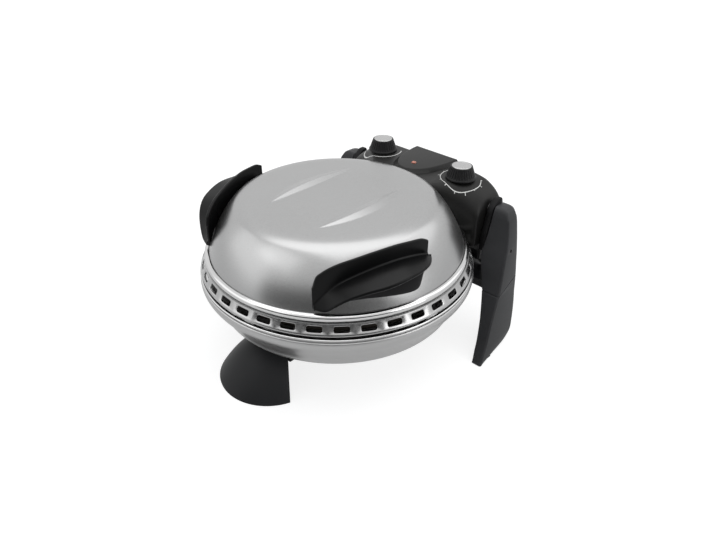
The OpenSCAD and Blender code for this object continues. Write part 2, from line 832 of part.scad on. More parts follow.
module upper_element_clips() place() color("#b9bbbd") difference() {
    for (a = clip_angles)
        rotate(a)
            translate([upper_loop_r - clip_w/2, -3, upper_rod_z])
                cube([clip_w, 6, 30]);
    rod_arc(upper_loop_r, upper_rod_z, 0, 360, rod_d + 2*seat_gap);
    difference() {
        cylinder(r = rim_r, h = dome_h + 20);
        rotate_extrude($fn = 180)
            polygon(concat([[0, 0]], [for (p = moved_line(shield_profile, shield_t + 0.1))
                [max(p.x, 0), p.y]]));
    }
}

module upper_element_bushes() place() color("#efe9dc")
    at_upper_terminals()
        translate([0, 0, upper_terminal_z - 8])
            difference() {
                cylinder(r = upper_bush_r, h = 7);
                translate([0, 0, -1])
                    cylinder(d = rod_d + 2*fit_fixed, h = 20);
            }

// ---------- handles ----------

// Rows of the right handle: distance along it from front to back, then the heights of the
// wall's top edge, of the crease where the grip leaves the wall, and of the grip's outer edge
handle_rows = [
    [-68, 48, 26, 23],
    [-64, 60, 30, 23.5],
    [-58, 65, 36, 26],
    [-48, 70, 43.5, 37],
    [-36, 73.5, 50, 46.5],
    [-18, 76.5, 55.5, 54],
    [4, 79.5, 60, 57.5],
    [30, 81.3, 62.3, 61],
    [50, 80.5, 61.4, 61],
    [64, 79.2, 59.4, 61.5],
    [71, 75, 57.4, 61]];
handle_half = 69;

// Outer face of the handle's wall and edge of its grip, counted outwards from the handle's line
function wall_out(u) = -1 + 6*(1 - u*u/(handle_half*handle_half));
function grip_out(u) = sqrt(grip_bow_r*grip_bow_r - (u - 8)*(u - 8)) - grip_bow_r + 42;

module in_handle()
    translate([handle_at_r*cos(handle_at), handle_at_r*sin(handle_at), 0])
        rotate(handle_faces)
            children();

module handle()
    loft([for (row = handle_rows)
        let (u = row[0], wall = wall_out(u), tip = max(grip_out(u), wall + 4),
            lip = min(grip_t, 2 + 0.1*(tip - wall)))
        [for (p = [
            [wall - handle_wall, row[1]],
            [wall - 0.6, row[1] + 0.4],
            [wall, row[1] - 0.6],
            [wall + 0.4, row[2] + 4],
            [wall + 3, row[2]],
            [tip - 2, row[3]],
            [tip, row[3] - lip*0.5],
            [tip - 2.5, row[3] - lip],
            [wall + 4, row[2] - grip_t],
            [wall, row[2] - grip_t - 1],
            [wall - handle_wall, row[2] - grip_t - 1]]) [p.x, u, p.y]]]);

module seated_handle() color(black) difference() {
    in_handle()
        handle();
    lid_envelope(seat_gap);
}

// Rows of the handle's mount: distance along it, height of its lower edge, reach outwards
mount_rows = [[-46, 27, 17], [-38, 20, 20], [-20, 17.5, 22], [6, 17, 23], [30, 20, 22],
    [44, 24.5, 20], [52, 31, 18], [56, 44, 15]];

function crease_at(u) = lookup(u, [for (row = handle_rows) [row[0], row[2]]]);
function edge_at(u) = lookup(u, [for (row = handle_rows) [row[0], row[3]]]);
function lip_at(u) = min(grip_t, 2 + 0.1*(grip_out(u) - wall_out(u)));

// Height of the grip's underside at u along the handle and n outwards
function grip_under(u, n) =
    let (from = [wall_out(u) + 4, crease_at(u) - grip_t],
        to = [grip_out(u) - 2.5, edge_at(u) - lip_at(u)])
    from.y + (to.y - from.y)*(n - from.x)/(to.x - from.x);

module handle_mount() color("#222223") difference() {
    in_handle()
        loft([for (row = mount_rows)
            let (u = row[0], top = crease_at(u) - grip_t - 1.4, wall = wall_out(u),
                out = min(row[2], grip_out(u) - 6), low = min(row[1], top - 4))
            [for (p = [
                [wall - handle_wall, top],
                [wall, top],
                [wall + 4, grip_under(u, wall + 4) - 1.3],
                [out - 3, grip_under(u, out - 3) - 1.3],
                [out, (top + low)/2],
                [out - 1, low],
                [-12, low],
                [-12, top - 2]]) [p.x, u, p.y]]]);
    lid_envelope(seat_gap);
    in_handle()
        handle_holes(1.8 + fit_fixed);
}

screw_along = [-22, 32];
handle_screw_z = 38;
handle_screw_head_r = 3;
handle_turn = handle_at - handle_faces;
// Distance outwards, on the handle's own scale, of the seat of a screw head inside the dome,
// where the head's upper edge meets the leaning wall
function screw_seat(u) =
    let (edge_z = handle_screw_z + handle_screw_head_r + 0.4,
        inside = lookup(edge_z, [for (p = dome_profile) [p.y, p.x]]) - 1.4*dome_t - 0.9,
        sideways = handle_at_r*sin(handle_turn) + u)
    sqrt(inside*inside - sideways*sideways) - handle_at_r*cos(handle_turn);

// Holes through the dome into the handle's mount
module handle_holes(r)
    for (u = screw_along)
        translate([screw_seat(u) - 1, u, handle_screw_z])
            rotate([0, 90, 0])
                cylinder(r = r, h = 13, $fn = 32);

module handle_left() place() mirrored(-1) seated_handle();
module handle_right() place() mirrored(1) seated_handle();
module handle_mount_left() place() mirrored(-1) handle_mount();
module handle_mount_right() place() mirrored(1) handle_mount();

module handle_screws() place() color("#8f9194")
    for (s = [-1, 1])
        mirrored(s)
            in_handle()
                for (u = screw_along)
                    translate([screw_seat(u) - 0.3, u, handle_screw_z])
                        rotate([0, -90, 0])
                            screw(3.6, 11, 2*handle_screw_head_r, 1.8);

// ---------- control housing ----------

// Rows of the right half of the housing: distance sideways, drop of the top below the control
// panel, front face, and run of the rounding at the top front edge
housing_rows = [
    [0, 0, -66, 6],
    [0.37, 0, -66, 6],
    [0.51, 0, -56, 16],
    [0.64, 0.4, -46, 26],
    [0.76, 3, -40, 30],
    [0.84, 7.4, -37.5, 30],
    [0.91, 13.6, -36, 28],
    [0.96, 21, -35, 24],
    [0.99, 31, -33.5, 16],
    [1, 43, -32, 10]];
housing_z = 4;
housing_back_r = 10;

// Outline of the housing in the plane at x, with w taken off its faces
function housing_ring(x, row, w) =
    let (top = panel_z - row[1] - w, back = housing_back_y - w, front = rim_r + row[2] + w,
        run = row[3], bend = min(run, top - housing_z - 4))
    [for (p = concat(
        [[back, housing_z - w]],
        arc_points([back - housing_back_r, top - housing_back_r], housing_back_r, 0, 90, 4),
        bezier([front + run*1.15, top], [front + run*0.4, top], [front, top - bend*0.3],
            [front, top - bend*1.1], 6),
        [[front, housing_z - w]])) [x, p.x, p.y]];

module housing_body(w) {
    half = housing_half - w;
    loft(concat(
        [for (row = reversed(housing_rows)) housing_ring(-row[0]*half, row, w)],
        [for (i = [1:len(housing_rows) - 1]) housing_ring(housing_rows[i][0]*half, housing_rows[i], w)]));
}

panel_screws = [[-92, 188], [92, 188], [-40, 192], [40, 192]];
gland_at = [0, 20];
gland_r = 8;
lamp_y = rim_r - 24;
lamp_z = panel_z - 13;
module at_housing_screws()
    for (p = panel_screws)
        translate([p.x*housing_half/121, p.y + rim_r - 178, housing_z])
            children();

module control_housing() place() color(black) difference() {
    union() {
        difference() {
            housing_body(0);
            housing_body(housing_wall);
        }
        intersection() {
            at_housing_screws()
                translate([0, 0, housing_wall])
                    cylinder(r = 4, h = 100, $fn = 32);
            housing_body(0.5);
        }
    }
    lid_envelope(seat_gap);
    for (s = [-1, 1])
        translate([s*knob_x, knob_y, panel_z - 10])
            cylinder(r = bush_neck_r + fit_fixed, h = 20);
    translate([0, lamp_y, panel_z - 10])
        cylinder(r = lens_r + fit_fixed, h = 20);
    at_housing_screws()
        cylinder(r = 1.5 + fit_fixed, h = 16, $fn = 32);
    translate([gland_at.x, housing_back_y - 10, gland_at.y])
        rotate([-90, 0, 0])
            cylinder(r = gland_r + fit_fixed, h = 20);
    for (s = [-1, 1])
        mirrored(s)
            hinge_disc(hinge_bush_r + fit_fixed, bush_in_x + 1, bush_out_x + 20);
}

module housing_base() place() color("#262627") difference() {
    inner_half = housing_half - housing_wall - 0.3;
    translate([-inner_half, rim_r - 28.5, housing_z])
        cube([2*inner_half, housing_back + 28.5 - housing_wall - 0.2, housing_wall]);
    lid_envelope(2*seat_gap);
    at_housing_screws()
        translate([0, 0, -1])
            cylinder(r = 1.8, h = 10, $fn = 32);
}

module housing_screws() place() color("#8f9194")
    at_housing_screws()
        rotate([180, 0, 0])
            screw(3, 12, 6, 2);

// Half outline of the raised panel, front to back: [sideways, along]
plate_top_half = [[0, 131], [12, 135], [21, 143], [28, 155], [33.5, 174], [36.6, 194], [36.9, 206]];
plate_foot_half = [[0, 122], [14, 127], [27, 141], [34.5, 158], [39, 176], [41.5, 194], [41.5, 206]];
module plate_outline(half)
    translate([0, rim_r - 178])
        polygon(concat(half, [for (p = reversed(half)) if (p.x > 0) [-p.x, p.y]]));

module name_panel() place() color("#202021") difference() {
    hull() {
        translate([0, 0, panel_z])
            linear_extrude(tiny)
                plate_outline(plate_foot_half);
        translate([0, 0, panel_z + plate_rise - 0.1])
            linear_extrude(0.1)
                plate_outline(plate_top_half);
    }
    lid_envelope(seat_gap);
    translate([0, lamp_y, panel_z - 1])
        cylinder(r = lens_r + fit_fixed, h = 20);
}

lens_r = 3.6;
module pilot_lens() place() color("#d8502a")
    translate([0, lamp_y, panel_z - 4])
        rotate_extrude()
            polygon(concat([[0, 0], [lens_r, 0], [lens_r, plate_rise + 4]],
                bezier([lens_r, plate_rise + 4], [lens_r - 0.2, plate_rise + 5.2],
                    [lens_r/2, plate_rise + 5.8], [0, plate_rise + 6], 5)));

module pilot_lamp() place() color("#e8e4da")
    translate([0, lamp_y, lamp_z])
        cylinder(r = 3.2, h = panel_z - 4 - lamp_z);

bush_neck_r = 5;
switch_top = panel_z - 15;
neck_top = panel_z - housing_wall - 2;
// Collar and threaded neck that hold a switch under the panel, with the shaft's bore
module switch_neck()
    difference() {
        union() {
            children();
            translate([0, 0, switch_top - tiny])
                cylinder(r = bush_neck_r + 1.5, h = neck_top - switch_top);
            translate([0, 0, switch_top])
                cylinder(r = bush_neck_r, h = panel_z - switch_top);
        }
        translate([0, 0, switch_top - 8])
            cylinder(r = shaft_d/2 + fit_run, h = 40);
    }

module thermostat_body() place() color("#cfcabd")
    translate([-knob_x, knob_y, 0])
        switch_neck()
            translate([-17, -16, switch_top - 24])
                cube([34, 32, 24]);

module timer_body() place() color("#b9bcc0")
    translate([knob_x, knob_y, 0])
        switch_neck()
            translate([0, 0, switch_top - 24])
                cylinder(r = 17, h = 24);

probe_d = 5;
module thermostat_probe() place() color("#b87a4a") {
    bulb_r = rim_r - 52.5;
    bulb_z = dome_h - 8.1;
    rotate(118)
        translate([bulb_r, -20, bulb_z])
            rotate([-90, 0, 0])
                cylinder(d = probe_d, h = 36, $fn = 24);
    start = [bulb_r*cos(118) + 20*sin(118), bulb_r*sin(118) - 20*cos(118), bulb_z];
    wire([start, start + [4, 2, -0.4], [-20, rim_r - 44, wire_hole_z + 6.5],
        [-5.5, rim_r - 37, wire_hole_z + 1], [-5.5, rim_r - 30, wire_hole_z + 0.5],
        [-18, rim_r - 24, wire_hole_z], [-knob_x + 26, knob_y - 6, 26],
        [-knob_x + 8, knob_y, 24], [-knob_x + 8, knob_y, switch_top - 24]], 1.6);
}

block_y = rim_r + 6;
block_top = 19;
module terminal_block() place() color("#e6e0d0")
    translate([-16, block_y - 8, housing_z + housing_wall])
        cube([32, 16, block_top - housing_z - housing_wall]);

gland_in = 6;
module cord_gland() place() color("#141414")
    translate([gland_at.x, housing_back_y, gland_at.y])
        rotate([-90, 0, 0])
            difference() {
                union() {
                    translate([0, 0, -gland_in])
                        cylinder(r = gland_r, h = gland_in + 1);
                    cylinder(r = gland_r + 3, h = 2.5);
                }
                translate([0, 0, 2 - gland_in])
                    cylinder(r = 4, h = 20);
            }

module upper_wiring() place() color("#b04a34") {
    for (s = [-1, 1]) {
        start = upper_loop_r*[s*cos(84), sin(84)];
        x = 4.5 + 1.6*s;
        wire([[start.x, start.y, upper_terminal_z], [start.x, start.y, upper_terminal_z + 2.2],
            [1.5 + 6*s, rim_r - 50, wire_hole_z + 13], [x, rim_r - 37, wire_hole_z + 0.9],
            [x, rim_r - 14, wire_hole_z - 1.5], [x, block_y - 4, 40],
            [x, block_y - 4, block_top]], wire_d);
        wire([[s*16, block_y, 13], [s*34, block_y, 13], [s*knob_x, knob_y + 8, 20],
            [s*knob_x, knob_y + 8, switch_top - 24]], wire_d);
        wire([[s*3, housing_back_y - gland_in, 20], [s*3, housing_back_y - gland_in - 4, 20],
            [s*3, block_y + 4, 25], [s*3, block_y + 4, block_top]], wire_d);
    }
    wire([[0, block_y - 5, block_top], [0, block_y - 5, block_top + 4], [0, block_y - 10, 34],
        [0, lamp_y + 8, wire_hole_z - 7], [0, lamp_y, wire_hole_z - 4], [0, lamp_y, lamp_z]], wire_d);
}

// ---------- knobs ----------

knob_gap = 0.5;
cap_recess = 0.8;
module knob() difference() {
    translate([0, 0, panel_z + knob_gap])
        difference() {
            cylinder(r1 = knob_r, r2 = knob_top_r, h = knob_h);
            for (i = [0:23])
                rotate(i*15)
                    translate([knob_r + 0.2, 0, -1])
                        rotate([0, -atan((knob_r - knob_top_r)/knob_h), 0])
                            cylinder(r = 0.9, h = 30, $fn = 16);
        }
    translate([0, 0, panel_z + knob_gap - 1])
        cylinder(d = shaft_d + 2*fit_fixed, h = knob_h - 2);
    translate([0, 0, panel_z + knob_gap + knob_h - cap_recess])
        cylinder(r = knob_top_r - 1.6, h = 5);
}

module knob_cap()
    translate([0, 0, panel_z + knob_gap + knob_h - cap_recess])
        difference() {
            cylinder(r = knob_top_r - 1.7, h = cap_recess + 0.4);
            translate([0, 0, cap_recess - 0.1])
                difference() {
                    cylinder(r = knob_top_r - 3, h = 2);
                    translate([0, 0, -1])
                        cylinder(r = knob_top_r - 3.5, h = 4);
                }
        }

module knob_shaft()
    translate([0, 0, switch_top - 7])
        cylinder(d = shaft_d, h = panel_z + knob_gap + knob_h - 3.2 - switch_top + 7);

module at_knob(side)
    translate([side*knob_x, knob_y, 0])
        children();

module thermostat_knob() place() color(black) at_knob(-1) knob();
module thermostat_cap() place() color("#d5d6d8") at_knob(-1) knob_cap();
module thermostat_shaft() place() color("#bfc1c4") at_knob(-1) knob_shaft();
module timer_knob() place() color(black) at_knob(1) knob();
module timer_cap() place() color("#d5d6d8") at_knob(1) knob_cap();
module timer_shaft() place() color("#bfc1c4") at_knob(1) knob_shaft();

base_bowl();
base_trim_ring();
base_pan();
baking_stone();
lower_element();
lower_element_clips();
lower_element_bushes();
lower_wiring();
lead_bush();
front_foot();
front_foot_bracket();
front_foot_strip();
front_foot_screws();
leg_frame_left();
leg_frame_right();
leg_cover_left();
leg_cover_right();
leg_shoe_left();
leg_shoe_right();
leg_screws();
leg_pads();
bowl_bracket_left();
bowl_bracket_right();
leg_bracket_left();
leg_bracket_right();
bracket_bolts();
hinge_pins();
lid_dome();
heat_shield();
slotted_band();
bead_ring();
upper_element();
upper_element_clips();
upper_element_bushes();
upper_wiring();
handle_left();
handle_right();
handle_mount_left();
handle_mount_right();
handle_screws();
control_housing();
housing_base();
housing_screws();
name_panel();
pilot_lens();
pilot_lamp();
thermostat_body();
thermostat_probe();
timer_body();
terminal_block();
cord_gland();
hinge_bush_left();
hinge_bush_right();
thermostat_knob();
thermostat_cap();
thermostat_shaft();
timer_knob();
timer_cap();
timer_shaft();
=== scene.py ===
import json
from math import asin, atan, cos, hypot, pi, radians, sin, sqrt

import bmesh
import bpy
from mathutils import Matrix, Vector
from mathutils.bvhtree import BVHTree


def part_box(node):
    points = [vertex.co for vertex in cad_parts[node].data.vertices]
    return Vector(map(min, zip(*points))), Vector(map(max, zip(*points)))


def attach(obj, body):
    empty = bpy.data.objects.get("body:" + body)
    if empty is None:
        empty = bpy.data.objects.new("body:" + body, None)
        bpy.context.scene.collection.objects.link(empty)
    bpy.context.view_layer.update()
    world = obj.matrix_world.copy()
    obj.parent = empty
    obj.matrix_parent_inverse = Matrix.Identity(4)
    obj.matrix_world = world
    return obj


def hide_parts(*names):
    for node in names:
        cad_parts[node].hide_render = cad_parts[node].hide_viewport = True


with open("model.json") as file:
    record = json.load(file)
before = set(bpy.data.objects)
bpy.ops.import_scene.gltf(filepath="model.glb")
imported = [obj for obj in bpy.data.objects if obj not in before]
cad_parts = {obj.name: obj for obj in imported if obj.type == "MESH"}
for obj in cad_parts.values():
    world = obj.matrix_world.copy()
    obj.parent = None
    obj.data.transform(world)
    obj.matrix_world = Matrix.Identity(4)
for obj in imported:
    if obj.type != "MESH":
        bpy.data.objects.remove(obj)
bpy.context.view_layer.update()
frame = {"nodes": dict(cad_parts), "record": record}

# ---------- sizes and places, from the frame ----------
# Millimetres. x and y are counted from the bowl's axis, z from the middle plane of the slots.


def span_mm(node):
    low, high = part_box(node)
    return low * 1000, high * 1000


stone_low, stone_high = span_mm("baking_stone")
knob_low, knob_high = span_mm("timer_knob")
housing_high = span_mm("control_housing")[1]
STONE_TOP = -12
STONE_R = (stone_high.x - stone_low.x) / 2
AXIS_Y = (stone_low.y + stone_high.y) / 2
RIM_Z = stone_high.z - STONE_TOP
RIM_R = STONE_R + 21.2
FLOOR_Z = -RIM_Z
CROWN_LIFT = 1.0
DOME_H = span_mm("lid_dome")[1].z - RIM_Z - CROWN_LIFT
BOWL_DEPTH = RIM_Z - span_mm("base_bowl")[0].z
HOUSING_HALF = housing_high.x
PANEL_Z = housing_high.z - RIM_Z
HOUSING_BACK_Y = housing_high.y - AXIS_Y
KNOB_X = (knob_low.x + knob_high.x) / 2
KNOB_Y = (knob_low.y + knob_high.y) / 2 - AXIS_Y
KNOB_FOOT_Z = knob_low.z - RIM_Z
KNOB_TOP_Z = knob_high.z - RIM_Z
LEG_IN = span_mm("leg_frame_right")[0].x
# How far the legs and the panel stand off the places their rows are drawn for
LEG_BACK = RIM_R - 178
LEG_SIDE = LEG_IN - 122
FOOT_Y = -0.7 * RIM_R


def to_world(p):
    return Vector((p[0], p[1] + AXIS_Y, p[2] + RIM_Z)) / 1000


# ---------- helpers ----------


def bezier(a, b, c, d, steps):
    """Points of a curve from a to d, without a, drawn towards b and c on its way."""
    points = []
    for i in range(1, steps + 1):
        t = i / steps
        s = 1 - t
        points.append(tuple(s**3 * p + 3 * s * s * t * q + 3 * s * t * t * u + t**3 * v
                            for p, q, u, v in zip(a, b, c, d)))
    return points


def arc(centre, r, start, end, steps):
    turns = [radians(start + (end - start) * i / steps) for i in range(steps + 1)]
    return [(centre[0] + r * cos(a), centre[1] + r * sin(a)) for a in turns]


def smooth_rows(rows, steps):
    """Rows of numbers with more rows between them, on a smooth curve through the given ones."""
    out = []
    for i in range(len(rows) - 1):
        before = rows[max(i - 1, 0)]
        a, b = rows[i], rows[i + 1]
        after = rows[min(i + 2, len(rows) - 1)]
        for t in (k / steps for k in range(steps)):
            out.append([0.5 * (2 * p1 + (p2 - p0) * t + (2 * p0 - 5 * p1 + 4 * p2 - p3) * t * t
                               + (3 * p1 - 3 * p2 + p3 - p0) * t**3)
                        for p0, p1, p2, p3 in zip(before, a, b, after)])
    out.append(list(rows[-1]))
    return out


def at(rows, x):
    """Row at x, read between the nearest two; the first number of each row is its x."""
    for a, b in zip(rows, rows[1:]):
        if a[0] <= x <= b[0]:
            t = (x - a[0]) / (b[0] - a[0])
            return [p + (q - p) * t for p, q in zip(a, b)]
    return rows[0] if x < rows[0][0] else rows[-1]


def filleted(points, radii, steps):
    """A closed outline whose corners are rounded by curves that start a given distance before them."""
    out = []
    n = len(points)
    for i in range(n):
        p = Vector(points[i])
        back = Vector(points[i - 1]) - p
        ahead = Vector(points[(i + 1) % n]) - p
        r = radii[i]
        a = p + back.normalized() * min(r, back.length * 0.45)
        b = p + ahead.normalized() * min(r, ahead.length * 0.45)
        for k in range(steps + 1):
            t = k / steps
            out.append(tuple((1 - t) ** 2 * a + 2 * t * (1 - t) * p + t * t * b))
    return out


def inset(points, d):
    """A closed outline, counterclockwise, moved d inwards."""
    out = []
    n = len(points)
    for i in range(n):
        along = (Vector(points[(i + 1) % n]) - Vector(points[i - 1])).normalized()
        p = Vector(points[i])
        out.append((p.x - along.y * d, p.y + along.x * d))
    return out


def heading(line, i):
    """Direction of an open line at its point i."""
    return (Vector(line[min(i + 1, len(line) - 1)]) - Vector(line[max(i - 1, 0)])).normalized()


def revolve(section, steps, start=0.0, closed=True):
    """Points and faces of a section [(radius, height)] turned about the bowl's axis."""
    verts = []
    faces = []
    n = len(section)
    for i in range(steps):
        a = start + 2 * pi * i / steps
        verts += [(r * cos(a), r * sin(a), z) for r, z in section]
        j = (i + 1) % steps
        for k in range(n if closed else n - 1):
            m = (k + 1) % n
            faces.append((i * n + k, j * n + k, j * n + m, i * n + m))
    return verts, faces


def quads(rings, n, base=0, looped=False, open_rings=False):
    """Faces between rings of n points each, whose points are numbered from base."""
    faces = []
    for i in range(rings if looped else rings - 1):
        a, b = base + i * n, base + (i + 1) % rings * n
        for j in range(n - 1 if open_rings else n):
            k = (j + 1) % n
            faces.append((a + j, a + k, b + k, b + j))
    return faces


def loft(rings):
    """A closed skin over rings of as many points each, with a flat face at either end."""
    n = len(rings[0])
    last = (len(rings) - 1) * n
    ends = [tuple(range(n - 1, -1, -1)), tuple(range(last, last + n))]
    return [p for ring in rings for p in ring], quads(len(rings), n) + ends


def joined(*shapes):
    verts = []
    faces = []
    for v, f in shapes:
        faces += [tuple(i + len(verts) for i in face) for face in f]
        verts += v
    return verts, faces


def mirrored(shape, side):
    """The shape made for the right side, or its mirror image where side is negative."""
    if side > 0:
        return shape
    return [(-x, y, z) for x, y, z in shape[0]], [f[::-1] for f in shape[1]]


SIDES = ((-1, "left"), (1, "right"))


def moved(shape, dx, dy):
    return [(x + dx, y + dy, z) for x, y, z in shape[0]], shape[1]


def mesh_of(name, shape):
    mesh = bpy.data.meshes.new(name)
    bm = bmesh.new()
    made = [bm.verts.new(to_world(p)) for p in shape[0]]
    for face in shape[1]:
        bm.faces.new([made[i] for i in face])
    bmesh.ops.remove_doubles(bm, verts=bm.verts, dist=1e-6)
    bmesh.ops.dissolve_degenerate(bm, edges=bm.edges, dist=1e-7)
    bmesh.ops.recalc_face_normals(bm, faces=bm.faces)
    bm.to_mesh(mesh)
    bm.free()
    return mesh


def linked(name, data):
    made = bpy.data.objects.new(name, data)
    bpy.context.scene.collection.objects.link(made)
    return made


def object_of(name, shape):
    return linked(name, mesh_of(name, shape))


def smooth(made, angle):
    """Smooth shading, with edges sharper than the angle in degrees kept as edges."""
    made.data.shade_smooth()
    made.data.set_sharp_from_angle(angle=radians(angle))


def cut(made, tools):
    """The object less the tools, which stay as they are."""
    for tool in tools:
        step = made.modifiers.new("cut", "BOOLEAN")
        step.object = tool
        step.operation = "DIFFERENCE"
        step.solver = "EXACT"
    bpy.context.view_layer.update()
    shown = made.evaluated_get(bpy.context.evaluated_depsgraph_get())
    mesh = bpy.data.meshes.new_from_object(shown)
    made.modifiers.clear()
    made.data = mesh


def piece(name, shape, body, slot, nodes, angle, cutters=()):
    """A piece that rides on a body and stands for CAD nodes."""
    made = object_of(name, shape)
    if cutters:
        cut(made, cutters)
    smooth(made, angle)
    made.data.materials.clear()
    made.data.materials.append(MATERIALS[slot])
    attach(made, body)
    if nodes:
        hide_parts(*nodes)
    return made


# ---------- materials ----------


def new_node(tree, kind, **settings):
    """A shader node of that kind, with its settings."""
    node = tree.nodes.new("ShaderNode" + kind)
    for key, value in settings.items():
        setattr(node, key, value)
    return node


def put(socket, value):
    """Gives an input its value, or links it where the value is another node's output."""
    if isinstance(value, bpy.types.NodeSocket):
        socket.id_data.links.new(value, socket)
    else:
        socket.default_value = value


def fill(node, **values):
    """Gives inputs of a node their values; _ in their names stands for a space."""
    for key, value in values.items():
        put(node.inputs[key.replace("_", " ")], value)
    return node


def combined(tree, operation, a, b):
    """A math node of two inputs, each a number or a socket."""
    step = new_node(tree, "Math", operation=operation)
    put(step.inputs[0], a)
    put(step.inputs[1], b)
    return step.outputs[0]


class Nodes:
    """A material's node tree, with its shader and short ways to add nodes to it."""

    def __init__(self, name, colour, roughness, metallic=0.0, **values):
        self.material = bpy.data.materials.new(name)
        self.material.use_nodes = True
        self.tree = self.material.node_tree
        self.shader = fill(self.tree.nodes["Principled BSDF"], Base_Color=(*colour, 1),
                           Roughness=roughness, Metallic=metallic, **values)
        self.place = self.add("TexCoord").outputs["Object"]

    def add(self, kind, **settings):
        return new_node(self.tree, kind, **settings)

    def math(self, operation, a, b):
        return combined(self.tree, operation, a, b)

    def mixed(self, a, b, share):
        """A share of a with the rest of b."""
        return self.math("ADD", self.math("MULTIPLY", a, share), self.math("MULTIPLY", b, 1 - share))

    def vector(self, operation, source, value=(0, 0, 0)):
        node = self.add("VectorMath", operation=operation)
        put(node.inputs[0], source)
        put(node.inputs[1], value)
        return node.outputs["Value" if operation == "LENGTH" else "Vector"]

    def noise(self, scale, detail, source=None, roughness=0.5):
        return fill(self.add("TexNoise"), Scale=scale, Detail=detail, Roughness=roughness,
                    Vector=source or self.place).outputs["Fac"]

    def ramp(self, fac, low, high, start=0.3, end=0.7):
        return fill(self.add("MapRange"), Value=fac, From_Min=start, From_Max=end, To_Min=low,
                    To_Max=high).outputs["Result"]

    def colour(self, fac, dark, light, start=0.3, end=0.7):
        node = fill(self.add("ValToRGB"), Fac=fac)
        for stop, place, colour in zip(node.color_ramp.elements, (start, end), (dark, light)):
            stop.position = place
            stop.color = (*colour, 1)
        fill(self.shader, Base_Color=node.outputs["Color"])
        return node

    def rough(self, fac, low, high):
        fill(self.shader, Roughness=self.ramp(fac, low, high))

    def bump(self, height, distance, strength):
        node = fill(self.add("Bump"), Distance=distance, Strength=strength, Height=height)
        fill(self.shader, Normal=node.outputs["Normal"])

    def about(self, x, y):
        """Radius from an upright axis through (x, y), and height, as a vector for turned finishes.

        A little of the place itself is added, so the grooves aren't the same all round.
        """
        shift = self.vector("SUBTRACT", self.place, (x, y, 0))
        radius = self.vector("LENGTH", self.vector("MULTIPLY", shift, (1, 1, 0)))
        height = fill(self.add("SeparateXYZ"), Vector=shift).outputs["Z"]
        join = fill(self.add("CombineXYZ"), X=radius, Y=height)
        return self.vector("ADD", join.outputs[0], self.vector("MULTIPLY", shift, (DRIFT, DRIFT, 0)))


BOWL_AXIS = (0, AXIS_Y / 1000)
DRIFT = 0.02


def grey(level, tint=(1, 1, 1)):
    return tuple(level * t for t in tint)


def painted_silver(name, level, roughness):
    """Silver lacquer with fine flakes."""
    made = Nodes(name, grey(level), roughness, 1.0)
    flakes = made.noise(2600, 2)
    cloud = made.noise(9, 3)
    made.colour(made.mixed(flakes, cloud, 0.7), grey(level * 0.93),
                grey(level * 1.07, (0.995, 1, 1.004)))
    made.rough(flakes, roughness - 0.035, roughness + 0.035)
    made.bump(flakes, 0.00002, 0.25)
    return made.material


def turned_steel(name, level, roughness, lines, depth, axis=BOWL_AXIS):
    """Steel brushed or spun round an upright axis."""
    made = Nodes(name, grey(level), roughness, 1.0)
    ring = made.about(*axis)
    grooves = made.noise(lines, 4, ring, 0.7)
    broad = made.noise(60, 2, ring)
    cloud = made.noise(7, 3)
    made.colour(made.mixed(grooves, cloud, 0.5), grey(level * 0.95), grey(level * 1.04))
    made.rough(made.mixed(grooves, broad, 0.6), roughness * 0.8, roughness * 1.25)
    made.bump(grooves, 0.00003, depth)
    return made.material


def moulded(name, colour, roughness, grain, depth, sheen=0.16):
    """Plastic with a fine moulded grain."""
    made = Nodes(name, colour, roughness, Specular_IOR_Level=sheen)
    cells = fill(made.add("TexVoronoi", feature="SMOOTH_F1"), Scale=grain, Vector=made.place)
    cloud = made.noise(14, 4)
    fine = made.noise(grain * 1.7, 2)
    made.colour(cloud, tuple(c * 0.86 for c in colour), tuple(c * 1.16 for c in colour))
    made.rough(made.mixed(fine, cloud, 0.5), roughness - 0.04, roughness + 0.05)
    grain_height = made.math("ADD", cells.outputs["Distance"], made.math("MULTIPLY", fine, 0.4))
    made.bump(grain_height, 0.00005, depth)
    return made.material


def plated(name, level, roughness, tint=(1, 1, 1)):
    made = Nodes(name, grey(level, tint), roughness, 1.0)
    spots = made.noise(420, 4, roughness=0.65)
    made.colour(spots, grey(level * 0.8, tint), grey(level * 1.1, tint))
    made.rough(made.noise(160, 3), roughness * 0.75, roughness * 1.3)
    made.bump(spots, 0.00003, 0.3)
    return made.material


# Radii between which painted shade darkens the stone's edge, and how far it does
SHADE_FROM, SHADE_TO = RIM_R - 36, RIM_R - 25
SHADE_MOST = 0.9


def fired_stone():
    """Baking stone, with painted shade near black along its edge, seen through the slots."""
    made = Nodes("fired stone", (0.52, 0.42, 0.31), 0.9)
    grit = made.noise(1500, 5, roughness=0.72)
    cloud = made.noise(22, 4)
    fresh = made.colour(made.mixed(grit, cloud, 0.55), (0.40, 0.31, 0.22), (0.62, 0.52, 0.40),
                        0.36, 0.64)
    radius = fill(made.add("SeparateXYZ"), Vector=made.about(*BOWL_AXIS)).outputs["X"]
    # Painted shade: the colour goes near black towards the edge, where the slots show the oven's
    # inside
    edge = made.ramp(radius, 0, SHADE_MOST, SHADE_FROM / 1000, SHADE_TO / 1000)
    edge_shade = fill(made.add("Mix", data_type="RGBA"), Factor=edge, A=fresh.outputs["Color"],
                 B=(0.030, 0.029, 0.028, 1))
    fill(made.shader, Base_Color=edge_shade.outputs["Result"])
    made.rough(grit, 0.82, 0.96)
    made.bump(grit, 0.0002, 0.5)
    return made.material


def heated_sheath():
    made = Nodes("heated sheath", (0.07, 0.06, 0.055), 0.55, 0.75)
    bands = made.noise(45, 4)
    fine = made.noise(1100, 3)
    made.colour(bands, (0.045, 0.038, 0.035), (0.13, 0.105, 0.09))
    made.rough(fine, 0.45, 0.68)
    made.bump(fine, 0.00006, 0.4)
    return made.material


